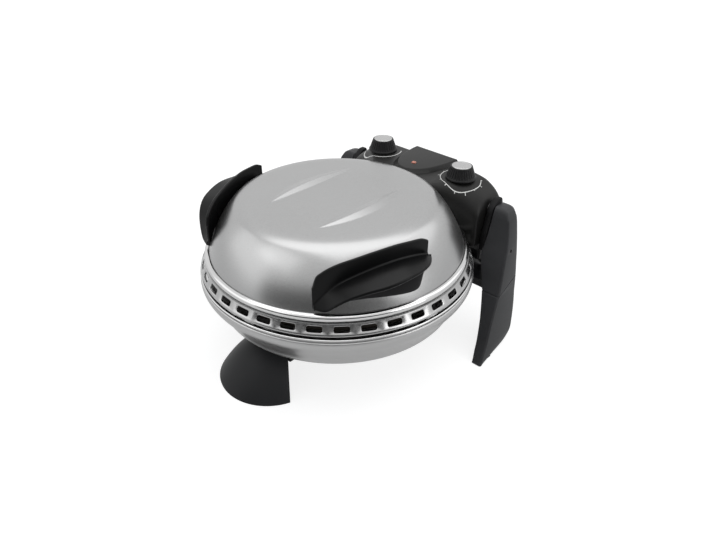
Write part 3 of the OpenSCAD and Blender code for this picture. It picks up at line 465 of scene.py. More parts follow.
def ceramic():
    made = Nodes("ceramic", (0.80, 0.76, 0.68), 0.35, Coat_Weight=0.3)
    speck = made.noise(700, 4)
    made.colour(speck, (0.74, 0.70, 0.62), (0.84, 0.81, 0.74))
    made.rough(made.noise(90, 3), 0.28, 0.45)
    made.bump(speck, 0.00003, 0.3)
    return made.material


# Distance of the pilot lamp's lens in front of the housing's back
LENS_AHEAD = 49


def clear_lens():
    """The pilot lamp's amber lens, with facets in rings."""
    made = Nodes("amber lens", (0.72, 0.16, 0.06), 0.12, Transmission_Weight=0.35, IOR=1.49,
                 Coat_Weight=0.6)
    ring = made.about(0, (HOUSING_BACK_Y - LENS_AHEAD + AXIS_Y) / 1000)
    facets = made.noise(900, 2, ring)
    made.colour(facets, (0.62, 0.10, 0.04), (0.85, 0.26, 0.12))
    made.rough(facets, 0.08, 0.2)
    made.bump(facets, 0.00008, 0.4)
    return made.material


def lamp_glass():
    made = Nodes("lamp glass", (0.85, 0.78, 0.62), 0.1, Transmission_Weight=0.6, IOR=1.5)
    film = made.noise(260, 3)
    made.colour(film, (0.80, 0.70, 0.52), (0.90, 0.84, 0.70))
    made.rough(film, 0.06, 0.18)
    return made.material


def print_white():
    made = Nodes("dial print", (0.80, 0.80, 0.78), 0.5)
    wear = made.noise(1500, 3)
    made.colour(wear, (0.66, 0.66, 0.64), (0.86, 0.86, 0.84), 0.25, 0.55)
    made.rough(wear, 0.42, 0.6)
    made.bump(wear, 0.00002, 0.3)
    return made.material


MATERIALS = {
    "dome_steel": painted_silver("satin silver", 0.395, 0.29),
    "bowl_steel": turned_steel("brushed bowl", 0.45, 0.37, 2400, 0.12),
    "band_steel": turned_steel("slotted band steel", 0.46, 0.24, 1800, 0.12),
    "bright_trim": turned_steel("polished trim", 0.62, 0.13, 900, 0.06),
    "pan_metal": turned_steel("rolled aluminium", 0.34, 0.46, 1400, 0.5),
    "stone": fired_stone(),
    "element_sheath": heated_sheath(),
    "clip_steel": plated("clip steel", 0.55, 0.32),
    "ceramic": ceramic(),
    "wire_sleeve": moulded("wire sleeve", (0.34, 0.07, 0.04), 0.5, 2200, 0.3),
    "black_rubber": moulded("rubber", (0.014, 0.014, 0.014), 0.72, 900, 0.5),
    "foot_plastic": moulded("foot plastic", (0.022, 0.0225, 0.024), 0.46, 1500, 0.3),
    "bracket_metal": moulded("black paint", (0.010, 0.010, 0.011), 0.36, 800, 0.3),
    "plated_steel": plated("plated steel", 0.62, 0.22),
    "frame_plastic": moulded("frame plastic", (0.010, 0.010, 0.0105), 0.46, 1500, 0.35, 0.12),
    "leg_plastic": moulded("charcoal plastic", (0.036, 0.0365, 0.039), 0.40, 1600, 0.25, 0.22),
    "handle_plastic": moulded("handle plastic", (0.0045, 0.0046, 0.0048), 0.30, 1800, 0.15, 0.15),
    "housing_plastic": moulded("housing plastic", (0.011, 0.0109, 0.0105), 0.40, 1300, 0.3, 0.2),
    "lens_plastic": clear_lens(),
    "lamp_glass": lamp_glass(),
    "switch_plastic": moulded("switch plastic", (0.58, 0.55, 0.47), 0.5, 900, 0.3),
    "timer_metal": plated("timer can", 0.55, 0.35),
    "capillary": plated("drawn copper", 0.62, 0.28, (1, 0.62, 0.42)),
    "bush_metal": plated("sintered bush", 0.09, 0.5),
    "knob_plastic": moulded("knob plastic", (0.013, 0.013, 0.0135), 0.38, 1700, 0.25),
    "cap_metal": plated("cap metal", 0.50, 0.26),
}
PRINT = print_white()

slot_of = {row["node"]: row["material_slot"] for row in frame["record"]["subparts"]}
for name, node in frame["nodes"].items():
    node.data.materials.clear()
    node.data.materials.append(MATERIALS[slot_of[name]])

# ---------- profiles ----------

DOME_FOOT = (RIM_R - 10, 14)
DOME_SHOULDER = (RIM_R - 45.5, 0.917 * DOME_H)
CROWN_R = RIM_R - 74
CROWN_DROP = 0.6


def dome_line(steps):
    """The dome's outer line from its lower edge up to the flat of the crown."""
    return ([(RIM_R - 9.7, 3), DOME_FOOT]
            + bezier(DOME_FOOT, (RIM_R - 15.5, 0.38 * DOME_H), (RIM_R - 29.5, 0.74 * DOME_H),
                     DOME_SHOULDER, 2 * steps)
            + bezier(DOME_SHOULDER, (RIM_R - 52, 0.99 * DOME_H), (RIM_R - 60, DOME_H - 0.8),
                     (CROWN_R, DOME_H - CROWN_DROP), steps))


def beside(line, d):
    """A line moved d to the left of its direction of travel."""
    out = []
    for i, p in enumerate(line):
        along = heading(line, i)
        out.append((p[0] - along.y * d, p[1] + along.x * d))
    return out


# ---------- lid: dome ----------

DOME_T = 1.2
CROWN_STEPS = 84
# Half length of a ridge, distance of its ends and of its middle's two sides from the crown's middle,
# slope of its sides, and width over which they meet
RIB_HALF = 77
RIB_TIP = 45
RIB_OUTER = 65
RIB_INNER = 42
RIB_SLOPE = 0.23
RIB_ROUND = 0.6


def rib_height(x, y):
    """Rise of the crown at (x, y), where two long ridges with flat sides are pressed in it."""
    bow = 1 - (y / RIB_HALF) ** 2
    if bow <= 0:
        return 0
    from_outer = RIB_TIP + (RIB_OUTER - RIB_TIP) * bow - abs(x)
    from_inner = abs(x) - RIB_TIP - (RIB_INNER - RIB_TIP) * bow
    if from_outer <= 0 or from_inner <= 0:
        return 0
    lower = (from_outer + from_inner - hypot(from_outer - from_inner, RIB_ROUND)) / 2
    return RIB_SLOPE * max(0, lower)


def dome_shape():
    """The outer sheet, whose flat crown has points enough for the ridges pressed in it."""
    outer = dome_line(12)
    shares = [1 - i / CROWN_STEPS for i in range(1, CROWN_STEPS + 1)]
    line = outer + [(CROWN_R * share, DOME_H - CROWN_DROP * share) for share in shares]
    section = line + [(0, DOME_H - DOME_T)] + beside(dome_line(4), DOME_T)[::-1]
    verts, faces = revolve(section, 400)
    first = len(outer) - 1
    lifted = []
    for i, (x, y, z) in enumerate(verts):
        on_crown = first <= i % len(section) < len(line)
        lifted.append((x, y, z + rib_height(x, y) if on_crown else z))
    return lifted, faces


BEAD_AT = (RIM_R - 9, 10)
BEAD_R = 5
BEAD_T = 1


def envelope_shape(gap):
    """The room that the closed lid's shells fill, grown by gap."""
    line = [p for p in beside(dome_line(8), -gap) if p[1] > 15.3]
    section = ([(0, -11), (RIM_R + 3 + gap, -11), (RIM_R + 3 + gap, -6.5),
                (RIM_R - 3.6 + gap, 4.6 + gap)]
               + arc(BEAD_AT, BEAD_R + gap, 0, 98, 8) + line + [(0, DOME_H + gap)])
    return revolve(section, 240)


envelope = object_of("lid envelope", envelope_shape(0.2))

piece("dome", dome_shape(), "lid", "dome_steel", ["lid_dome"], angle=50)

# ---------- lid: bead and slotted band ----------

bead_line = arc(BEAD_AT, BEAD_R, -80, 99, 28)
bead_in = arc(BEAD_AT, BEAD_R - BEAD_T, 99, -80, 16)
piece("bead", revolve(bead_line + bead_in, 320), "lid", "bright_trim", ["bead_ring"], angle=60)

SLOTS = 36
SLOT_PHASE = radians(7.2)
SLOT_W = 18.2
SLOT_H = 7.5
SLOT_CORNER = 2.2
BAND_T = 1.0
BAND_TOP = Vector((RIM_R - 3.6, 4.6))
BAND_FOOT = Vector((RIM_R + 2, -6))
# Points along a slot's long and short sides
TOP_STEPS, SIDE_STEPS = 12, 7


def between(a, b, steps):
    """Points that part the line from a to b in equal steps, with a and without b."""
    return [tuple(p + (q - p) * k / steps for p, q in zip(a, b)) for k in range(steps)]


def slot_outline(grow):
    """Round-cornered slot outline, with the same number of points as the panel round it."""
    w = SLOT_W / 2 + grow
    h = SLOT_H / 2 + grow
    c = SLOT_CORNER + grow

    corners = [(w - c, h - c), (-w + c, h - c), (-w + c, -h + c), (w - c, -h + c)]
    rounds = [arc(corner, c, 90 * i, 90 * i + 90, 6) for i, corner in enumerate(corners)]
    points = []
    for i in range(4):
        points += rounds[i][3:]
        ahead = rounds[(i + 1) % 4]
        points += between(rounds[i][6], ahead[0], (SIDE_STEPS if i % 2 else TOP_STEPS) - 6)[1:]
        points += ahead[:3]
    return points


def panel_outline(w, h):
    """The piece of band round one slot."""
    corners = [(w, h), (-w, h), (-w, -h), (w, -h)]
    points = []
    for i in range(4):
        points += between(corners[i], corners[(i + 1) % 4], SIDE_STEPS if i % 2 else TOP_STEPS)
    return points


def band_shape():
    """The slanted ring with its slots, its turned-in top and its rolled foot."""
    slope = (BAND_FOOT - BAND_TOP).normalized()
    outward = Vector((-slope.y, slope.x))
    if outward.x < 0:
        outward = -outward
    half_h = (BAND_FOOT - BAND_TOP).length / 2
    middle = (BAND_TOP + BAND_FOOT) / 2
    half_angle = pi / SLOTS
    mid_r = middle.x

    def on_band(u, v, depth, turn):
        """u along the ring in mm at the middle, v up the slanted face, depth into the sheet."""
        p = middle - slope * v - outward * depth
        a = turn + u / mid_r
        return (p.x * cos(a), p.x * sin(a), p.y)

    verts = []
    faces = []
    panel = panel_outline(half_angle * mid_r, half_h)
    layers = [(panel, 0), (slot_outline(0.55), 0), (slot_outline(0.15), 0.18), (slot_outline(0), 0.6),
              (slot_outline(0), BAND_T), (panel, BAND_T)]
    for s in range(SLOTS):
        turn = SLOT_PHASE + s * 2 * pi / SLOTS
        faces += quads(len(layers), len(panel), len(verts))
        for outline, depth in layers:
            verts += [on_band(u, v, depth, turn) for u, v in outline]
    inner_top = middle - slope * half_h - outward * BAND_T
    inner_foot = middle + slope * half_h - outward * BAND_T
    upper = [BAND_TOP, (RIM_R - 6.5, 4.9), (RIM_R - 9.6, 4.6), (RIM_R - 9.6, 3.6),
             (inner_top.x, 3.6), inner_top]
    lower = ([inner_foot, (RIM_R + 0.4, -7.6), (RIM_R - 0.4, -8.2), (RIM_R - 0.4, -9.0)]
             + bezier((RIM_R + 1.6, -9.0), (RIM_R + 2.6, -8.9), (RIM_R + 2.9, -8.0),
                      (RIM_R + 2.8, -7.4), 5)
             + [BAND_FOOT])
    strips = [revolve(line, SLOTS * TOP_STEPS, SLOT_PHASE - half_angle, closed=False)
              for line in (upper, lower)]
    return joined((verts, faces), *strips)


piece("slotted_ring", band_shape(), "lid", "band_steel", ["slotted_band"], angle=40)

# ---------- handles ----------

HANDLE_AT = radians(-29.4)
HANDLE_FACES = radians(-22.2)
HANDLE_R = RIM_R - 32.3
GRIP_BOW_R = 95
HANDLE_WALL = 3.6
GRIP_T = 6
HANDLE_HALF = 69
TIP_START = 61
TIP_REACH = 4
# Place along the handle, height of the wall's top, of the crease and of the grip's outer edge
HANDLE_ROWS = [(-68, 48, 26, 23), (-64, 60, 30, 23.5), (-58, 65, 36, 26), (-48, 70, 43.5, 37),
               (-36, 73.5, 50, 46.5), (-18, 76.5, 55.5, 54), (4, 79.5, 60, 57.5), (30, 81.3, 62.3, 61),
               (50, 80.5, 61.4, 61), (64, 79.2, 59.4, 61.5), (73, 75, 57.2, 61)]
# Place along the handle, height of the mount's lower edge, reach outwards
MOUNT_ROWS = [(-46, 38, 15), (-41, 33.5, 18), (-30, 32.5, 20), (-12, 31, 21), (6, 28.5, 22),
              (30, 25.5, 22), (47, 24, 20), (55, 27, 18), (59, 38, 16), (61, 46, 15)]
MOUNT_GAP = 1.3
MOUNT_BACK = -12


def wall_out(u):
    """Reach of the wall's outer face, which bows outwards in the middle."""
    return -1 + 6 * (1 - (u / HANDLE_HALF) ** 2)


def grip_out(u):
    """Reach of the grip, drawn in to a round tip at its high end."""
    full = sqrt(GRIP_BOW_R**2 - (u - 8) ** 2) - GRIP_BOW_R + 42
    past = max(0.0, (u - TIP_START) / (HANDLE_ROWS[-1][0] + 0.5 - TIP_START))
    return TIP_REACH + (full - TIP_REACH) * sqrt(max(0.0, 1 - past * past))


def from_handle(n, u, z):
    """A point given outwards, along and up on the right handle."""
    c, s = cos(HANDLE_FACES), sin(HANDLE_FACES)
    return (HANDLE_R * cos(HANDLE_AT) + n * c - u * s,
            HANDLE_R * sin(HANDLE_AT) + n * s + u * c, z)


def lip_at(tip, wall):
    """Thickness of the grip at its outer edge."""
    return min(GRIP_T, 2 + 0.1 * (tip - wall))


def grip_section(row, shrink):
    """The handle's outline across, from the wall's inner face round the grip and back."""
    u, top, crease, edge = row
    wall = wall_out(u)
    tip = max(grip_out(u), wall + 4)
    lip = lip_at(tip, wall)
    t, s = HANDLE_WALL, shrink
    points = [(wall - t + s, top - s), (wall - s, top - s), (wall - s, crease + 1.6),
              (wall + 1.2, crease - s * 0.5), (tip - 1.2 - s, edge - s * 0.5),
              (tip - s, edge - lip * 0.55), (tip - 2.5 - s, edge - lip + s),
              (wall + 4, crease - GRIP_T + s), (wall - s, crease - GRIP_T - 1 + s),
              (wall - t + s, crease - GRIP_T - 1 + s)]
    return filleted(points, [1.3, 1.3, 0.8, 0.7, 0.9, 1.2, 1.4, 3, 1, 1], 4)


def handle_shape():
    """Sections along the handle, with two smaller ones past each end that round it off."""
    rows = smooth_rows(HANDLE_ROWS, 8)
    first, last = rows[0], rows[-1]
    ends = [(first[0] - 0.45 * i, first, 0.4 * i) for i in (2, 1)]
    middle = [(row[0], row, 0) for row in rows]
    ends_high = [(last[0] + 0.45 * i, last, 0.4 * i) for i in (1, 2)]
    return loft([[from_handle(n, u, z) for n, z in grip_section(row, shrink)]
                 for u, row, shrink in ends + middle + ends_high])


def grip_under(u, n):
    """Height of the grip's underside at u along the handle and n outwards."""
    row = at(HANDLE_ROWS, u)
    n0, z0 = wall_out(u) + 4, row[2] - GRIP_T
    n1, z1 = grip_out(u) - 2.5, row[3] - lip_at(grip_out(u), wall_out(u))
    return z0 + (z1 - z0) * (n - n0) / (n1 - n0)


def mount_shape():
    """The block under the grip, between it and the dome."""
    rings = []
    for u, low, reach in smooth_rows(MOUNT_ROWS, 5):
        top = at(HANDLE_ROWS, u)[2] - GRIP_T - 1.4
        wall = wall_out(u)
        out = min(reach, grip_out(u) - 6)
        low = min(low, top - 4)
        points = [(wall - HANDLE_WALL, top), (wall, top),
                  (wall + 4, grip_under(u, wall + 4) - MOUNT_GAP),
                  (out - 3, grip_under(u, out - 3) - MOUNT_GAP), (out, (top + low) / 2),
                  (out - 1, low), (MOUNT_BACK, low), (MOUNT_BACK, top - 2)]
        outline = filleted(points, [0.5, 0.5, 1, 2, 6, 3, 0.5, 0.5], 3)
        rings.append([from_handle(n, u, z) for n, z in outline])
    return loft(rings)


for side, word in SIDES:
    piece(f"grip_{word}", mirrored(handle_shape(), side), "lid", "handle_plastic", [f"handle_{word}"],
          angle=42, cutters=[envelope])
    piece(f"grip_mount_{word}", mirrored(mount_shape(), side), "lid", "frame_plastic",
          [f"handle_mount_{word}"], angle=42, cutters=[envelope])

# ---------- control housing ----------

# Sideways share, drop of the top, front face, run of the rounding
HOUSING_ROWS = [(0, 0, -66, 6), (0.37, 0, -66, 6), (0.51, 0, -56, 16), (0.64, 0.4, -46, 26),
                (0.76, 3, -40, 30), (0.84, 7.4, -37.5, 30), (0.91, 13.6, -36, 28), (0.96, 21, -35, 24),
                (0.99, 31, -33.5, 16), (1, 43, -32, 10)]
HOUSING_Z = 4
# Where the lower edge starts to fall towards an ear and where it has fallen to EAR_Z
EAR_START, EAR_FULL, EAR_Z = 84, 95, -10
HOUSING_WALL = 2.5


def housing_ring(x, row, w):
    """Outline across the housing at x, its lower edge down at the ears, all moved in by w."""
    _, drop, ahead, run = row
    share = min(1, max(0, (abs(x) - EAR_START) / (EAR_FULL - EAR_START)))
    low = HOUSING_Z + (EAR_Z - HOUSING_Z) * share * share * (3 - 2 * share)
    top = PANEL_Z - drop - w
    back = HOUSING_BACK_Y - w
    front = RIM_R + ahead + w
    bend = min(run, top - HOUSING_Z - 4)
    line = ([(back, low - w)] + arc((back - 10, top - 10), 10, 0, 90, 10)
            + bezier((front + run * 1.15, top), (front + run * 0.4, top), (front, top - bend * 0.3),
                     (front, top - bend * 1.1), 18)
            + [(front, low - w)])
    return [(x, y, z) for y, z in line]


def housing_shape(w):
    """The housing's outside, or the room inside it where w is its wall."""
    half = HOUSING_HALF - w
    rows = smooth_rows(HOUSING_ROWS, 5)
    rows = [row for i, row in enumerate(rows) if i == 0 or row[0] > rows[i - 1][0] + 0.0005]
    right = [housing_ring(row[0] * half, row, w) for row in rows]
    if w == 0:
        share, drop, front, run = rows[-1]
        right.append(housing_ring(half, [share, drop + 0.8, front + 0.8, run], 0))
    left = [[(-x, y, z) for x, y, z in ring] for ring in reversed(right[1:])]
    return loft(left + right)


inner_housing = object_of("housing room", housing_shape(HOUSING_WALL))
housing = piece("housing", housing_shape(0), "lid", "housing_plastic", ["control_housing"], angle=38,
                cutters=[inner_housing, envelope])

# The raised panel's outline, at its top and at its foot: half width, and distance back
PLATE_TOP = [(0, 131), (12, 135), (21, 143), (28, 155), (33.5, 174), (36.6, 194), (36.9, 206)]
PLATE_FOOT = [(0, 122), (14, 127), (27, 141), (34.5, 158), (39, 176), (41.5, 194), (41.5, 206)]
PLATE_RISE = 5


def plate_outline(half, shrink):
    line = [(x, y + LEG_BACK) for x, y in smooth_rows(half, 4)]
    return inset(line + [(-x, y) for x, y in line[::-1] if x > 0], shrink)


def plate_shape():
    """Bare raised panel with rounded upper edges."""
    levels = [(PLATE_FOOT, 0, -0.02), (PLATE_FOOT, 0.15, 0.35)]
    levels += [(PLATE_TOP, shrink, PLATE_RISE - drop)
               for shrink, drop in ((-0.7, 1.2), (-0.2, 0.5), (0.4, 0.1), (1.4, 0))]
    return loft([[(x, y, PANEL_Z + rise) for x, y in plate_outline(half, shrink)]
                 for half, shrink, rise in levels])


piece("name_plate", plate_shape(), "lid", "housing_plastic", ["name_panel"], angle=30,
      cutters=[envelope])

# ---------- knobs and dials ----------

KNOB_FOOT_R, KNOB_TOP_R = 21.1, 15.2
GROOVES = 30
GROOVE_DEEP = 0.75


def knob_shape():
    """Tapered knob with a rim at its foot, grooves round it and a seat for its cap."""
    high = KNOB_TOP_Z - KNOB_FOOT_Z
    foot_r, top_r = KNOB_FOOT_R, KNOB_TOP_R
    per = 8
    taper = (foot_r - 1.0 - top_r) / (high - 3.4)
    line = [(3.4, 0), (foot_r - 0.5, 0), (foot_r, 0.5), (foot_r - 0.1, 1.9), (foot_r - 0.5, 2.4),
            (foot_r - 1.0, 2.7)]
    line += [(foot_r - 1.0 - taper * h, 2.7 + h) for h in (1, 2, 4, 6, 8, 10, 11.5, 12.5)]
    line += [(top_r + 0.2, high - 1.2), (top_r - 0.05, high - 0.5), (top_r - 0.5, high - 0.1),
             (top_r - 0.9, high), (top_r - 1.45, high), (top_r - 1.55, high - 0.8), (3.4, high - 0.8)]
    verts, faces = revolve(line, GROOVES * per)
    cut_verts = []
    for i, (x, y, z) in enumerate(verts):
        k = i % len(line)
        if 6 <= k <= 13:
            turn = (i // len(line)) % per / per
            deep = GROOVE_DEEP * max(0, 1 - abs(turn - 0.5) * 5) * min(1, (k - 5) / 2, (14 - k) / 2)
            r = hypot(x, y)
            x, y = x * (1 - deep / r), y * (1 - deep / r)
        cut_verts.append((x, y, z + KNOB_FOOT_Z))
    return cut_verts, faces


def cap_shape():
    """Spun disc with a groove near its edge and a slight crown."""
    base = KNOB_TOP_Z - 0.8
    crown_r, crown_rise = 10.7, 0.16
    line = ([(0, base), (13.45, base), (13.5, base + 0.7)]
            + arc((12.9, base + 0.75), 0.6, 0, 90, 4)
            + [(12.0, base + 1.32), (11.6, base + 1.12), (11.1, base + 1.12), (crown_r, base + 1.3)]
            + [(crown_r * (1 - k / 8), base + 1.3 + crown_rise * sin(pi / 2 * k / 8))
               for k in range(1, 9)])
    return revolve(line, 128)


for side, word in ((-1, "thermostat"), (1, "timer")):
    x = side * KNOB_X
    cap = turned_steel(f"spun cap {word}", 0.47, 0.24, 1500, 0.35,
                       (x / 1000, (KNOB_Y + AXIS_Y) / 1000))
    piece(f"{word}_grip", moved(knob_shape(), x, KNOB_Y), f"{word}_dial", "knob_plastic",
          [f"{word}_knob"], angle=38)
    disc = piece(f"{word}_disc", moved(cap_shape(), x, KNOB_Y), f"{word}_dial", "cap_metal",
                 [f"{word}_cap"], angle=40)
    disc.data.materials[0] = cap

DIAL_R = 28
PRINT_T = 0.10
housing_tree = BVHTree.FromObject(housing, bpy.context.evaluated_depsgraph_get())


def on_panel(x, y, lift):
    """The point of the housing's top over (x, y), lifted off it."""
    start = to_world((x, y, PANEL_Z + 40))
    hit = housing_tree.ray_cast(start, Vector((0, 0, -1)))
    z = hit[0].z * 1000 - RIM_Z if hit[0] else PANEL_Z
    return (x, y, z + lift)


def mark(points, width):
    """A thin printed line over the panel, along points, each given as (x, y)."""
    rings = []
    for i, p in enumerate(points):
        along = heading(points, i)
        across = Vector((-along.y, along.x)) * width / 2
        rings.append([on_panel(*(Vector(p) + across * s), lift)
                      for s, lift in ((-1, PRINT_T), (1, PRINT_T), (1, 0.01), (-1, 0.01))])
    return loft(rings)


def dial_shape(centre_x, start, end, ticks, width, tick_w):
    """Arc from one angle to another round a knob, with long and short ticks by turns."""
    shapes = [mark(arc((centre_x, KNOB_Y), DIAL_R, start, end, 72), width)]
    for k, a in enumerate(ticks):
        c, s = cos(radians(a)), sin(radians(a))
        reach = 2.0 if k % 2 else 3.4
        shapes.append(mark([(centre_x + r * c, KNOB_Y + r * s)
                            for r in (DIAL_R, DIAL_R + reach / 2, DIAL_R + reach)], tick_w))
    return joined(*shapes)


TIMER_TICKS = [*range(152, 377, 28), 400]

for word, shape in (("thermostat", dial_shape(-KNOB_X, 160, 392, [], 1.3, 1)),
                    ("timer", dial_shape(KNOB_X, 152, 400, TIMER_TICKS, 0.9, 0.9))):
    made = piece(f"{word}_scale", shape, "lid", "cap_metal", [], angle=30)
    made.data.materials[0] = PRINT

# ---------- base: bowl, trim, stone ----------


BOWL_T = 1.5


def bowl_line(steps):
    """The bowl's outer line from its rim down to the middle of its floor."""
    waist = (RIM_R - 16.6, -0.7 * BOWL_DEPTH)
    side = (RIM_R + 4.4, -19)
    return ([(RIM_R - 8, -17), (RIM_R + 2.2, -17), (RIM_R + 3.4, -17.25), (RIM_R + 4.1, -17.9), side]
            + bezier(side, (RIM_R + 7.8, -0.35 * BOWL_DEPTH), (RIM_R - 10.9, -0.515 * BOWL_DEPTH),
                     waist, 2 * steps)
            + bezier(waist, (RIM_R - 18, -0.834 * BOWL_DEPTH), (RIM_R - 49.8, -0.99 * BOWL_DEPTH),
                     (RIM_R - 73, -BOWL_DEPTH), 2 * steps)
            + [(RIM_R - 110, -BOWL_DEPTH), (0, -BOWL_DEPTH)])


def bowl_shape():
    inner = [(max(p[0], 0), p[1]) for p in reversed(beside(bowl_line(5), -BOWL_T))]
    return revolve(bowl_line(14) + inner, 320)


piece("bowl", bowl_shape(), "base", "bowl_steel", ["base_bowl"], angle=40)

trim_line = ([(RIM_R - 6, -17), (RIM_R + 1.5, -17), (RIM_R + 1.5, -14.7)]
             + arc((RIM_R + 3, -13.25), 1.25, -90, 90, 12)
             + [(RIM_R + 1.8, -12.0), (RIM_R + 1.2, -12.35), (RIM_R + 0.4, -12.35),
                (RIM_R - 0.2, -12.0), (RIM_R - 6, -12)])
piece("rim_trim", revolve(trim_line, 320), "base", "bright_trim", ["base_trim_ring"], angle=35)

STONE_LOW = STONE_TOP - (stone_high.z - stone_low.z)
stone_line = ([(0, STONE_LOW), (STONE_R - 0.8, STONE_LOW), (STONE_R, STONE_LOW + 0.8)]
              + arc((STONE_R - 2, STONE_TOP - 2), 2, 0, 90, 6)
              + [(STONE_R * k / 6, STONE_TOP) for k in range(5, -1, -1)])
piece("stone", revolve(stone_line, 200), "base", "stone", ["baking_stone"], angle=40)

# ---------- front foot ----------

FOOT_R = 70.2
FOOT_TOP = RIM_Z - BOWL_DEPTH + 7.5
FOOT_WALL = 3
FOOT_SLOPE = 0.84
FOOT_CUT = 29.5
FOOT_STEPS = 72


def foot_ring(h, w):
    """The foot's skin at height h, w inside its outer face, from one cut edge round to the other."""
    r = FOOT_R * sqrt(max(0, 1 - h / FOOT_TOP)) - w
    lean = hypot(1, FOOT_SLOPE)
    share = FOOT_CUT / (lean * r) if r > 0 else 2
    widest = asin(min(1, share)) + atan(1 / FOOT_SLOPE)
    points = []
    for i in range(FOOT_STEPS + 1):
        a = -widest + 2 * widest * i / FOOT_STEPS
        points.append((r * sin(a), FOOT_Y - r * cos(a), FLOOR_Z + h - w * 0.7))
    return points


def foot_shape():
    """Domed shell, cut off by a slanted plane at the back, with its cut edges closed."""
    heights = [1 + (FOOT_TOP - 3.5 - 1) * (k / 26) ** 0.9 for k in range(27)]
    outer = [foot_ring(h, 0) for h in heights]
    outer.insert(0, [(x, y, FLOOR_Z + 1) for x, y, _ in foot_ring(1, 0.5)])
    inner = [foot_ring(h, FOOT_WALL) for h in reversed(heights[1:])]
    inner.append([(x, y, FLOOR_Z + 1) for x, y, _ in foot_ring(1, FOOT_WALL)])
    rings = outer + inner
    n = FOOT_STEPS + 1
    count = len(rings)
    faces = quads(count, n, looped=True, open_rings=True)
    for side in (0, n - 1):
        for i in range(len(outer) - 1):
            if count - 2 - i >= len(outer):
                face = tuple(k * n + side for k in (i, i + 1, count - 2 - i, count - 1 - i))
                faces.append(face if side else face[::-1])
    return [p for ring in rings for p in ring], faces


BOSS_X, BOSS_R, BOSS_BORE = 12, 6, 2.05
BOSS_LOW, BOSS_HIGH = -BOWL_DEPTH - 16, -BOWL_DEPTH - 0.2


def boss_shape(x):
    """A screw's boss inside the foot."""
    line = [(BOSS_BORE, BOSS_LOW), (BOSS_R - 0.5, BOSS_LOW), (BOSS_R, BOSS_LOW + 0.5),
            (BOSS_R, BOSS_HIGH), (BOSS_BORE, BOSS_HIGH)]
    return moved(revolve(line, 48), x, FOOT_Y)


piece("foot_shell", joined(foot_shape(), boss_shape(-BOSS_X), boss_shape(BOSS_X)), "base",
      "foot_plastic", ["front_foot"], angle=48)

# Two posts and a bar behind the foot, which hold it to the bowl

POST_IN, POST_OUT = 21, 40
POST_FRONT, BAR_FRONT, POST_BACK = FOOT_Y - 1, FOOT_Y + 8, FOOT_Y + 16
POST_FOOT, BAR_TOP, POST_TOP = FLOOR_Z + 37, -BOWL_DEPTH + 8, -BOWL_DEPTH + 14


def block(x0, x1, y0, y1, z0, z1, r=1.0):
    """Box with its upright edges rounded."""
    outline = filleted([(x0, y0), (x1, y0), (x1, y1), (x0, y1)], [r] * 4, 3)
    return loft([[(x, y, z) for x, y in outline] for z in (z0, z1)])


def bowl_room_shape(gap):
    """The room inside the bowl's skin, grown by gap, for pieces that stop at the skin."""
    line = [(r + gap, z - gap) for r, z in bowl_line(10)[4:] if r > 0]
    return revolve(line + [(0, -BOWL_DEPTH - gap), (0, -18)], 160)


bowl_room = object_of("bowl room", bowl_room_shape(0.1))
for side, word in SIDES:
    x0, x1 = sorted((side * POST_IN, side * POST_OUT))
    post = block(x0, x1, POST_FRONT, POST_BACK, POST_FOOT, POST_TOP)
    piece(f"foot_post_{word}", post, "base", "bracket_metal",
          ["front_foot_bracket"] if side > 0 else [], angle=40, cutters=[bowl_room])
piece("foot_bar", block(-POST_IN, POST_IN, BAR_FRONT, POST_BACK, POST_FOOT, BAR_TOP), "base",
      "bracket_metal", [], angle=40, cutters=[bowl_room])

# ---------- rear legs ----------

LEG_LEAN = 0.22
LEG_OUT = LEG_IN + 46.2
CHEEK_T = 10
# The cheek's lower edge, and the height whose front and back it keeps down to there
CHEEK_FOOT, CHEEK_FROM = -16, 4
# Height, inner face, front face, back face, radius of the outer back corner
LEG_ROWS = [(FLOOR_Z + 1, 183.5, 71, 104, 4), (FLOOR_Z + 4, 182.5, 74, 135, 5),
            (FLOOR_Z + 13, 179.5, 80.5, 157, 6), (-0.82 * RIM_Z, 176, 89, 164, 6),
            (-0.69 * RIM_Z, 170.5, 99.5, 171, 7), (-0.60 * RIM_Z, 165.5, 107.5, 175, 8),
            (-60, 155, 122, 180, 9), (-45, 147, 131, 183, 10), (-29, 138, 138.5, 185, 11),
            (-13, 130, 146, 186.5, 11), (4, 122, 154, 188, 12), (25, 122, 160.5, 188.5, 12),
            (36, 122, 163, 188.5, 12)]
# Height, outer face, front face, back face, corner radius
LEG_TOP_ROWS = [(42, 154.6, 164.8, 188.4, 10), (45.6, 151.8, 166.6, 188, 9),
                (47.2, 148.6, 168.6, 187.2, 7), (47.8, 145, 171, 186, 5)]
CHEEK_TOP_ROWS = [(39, 163.5, 188.5), (46, 167, 188), (52, 174, 186.5), (54.5, 178, 185)]
# How far the outer face draws in towards the back, for each mm below the height where it starts
BACK_DRAW, BACK_DRAW_FROM, BACK_DRAW_MOST = 0.065, 30, 6.5
LEG_FRONT_R = 2.6
# The seam between cover and shoe, half its gap, and the rounding of its edges in metres
SEAM_Y, SEAM_Z = 110 + LEG_BACK, -59
SEAM_TILT = radians(10.5)
SEAM_GAP = 0.5
SEAM_ROUND = 0.0007


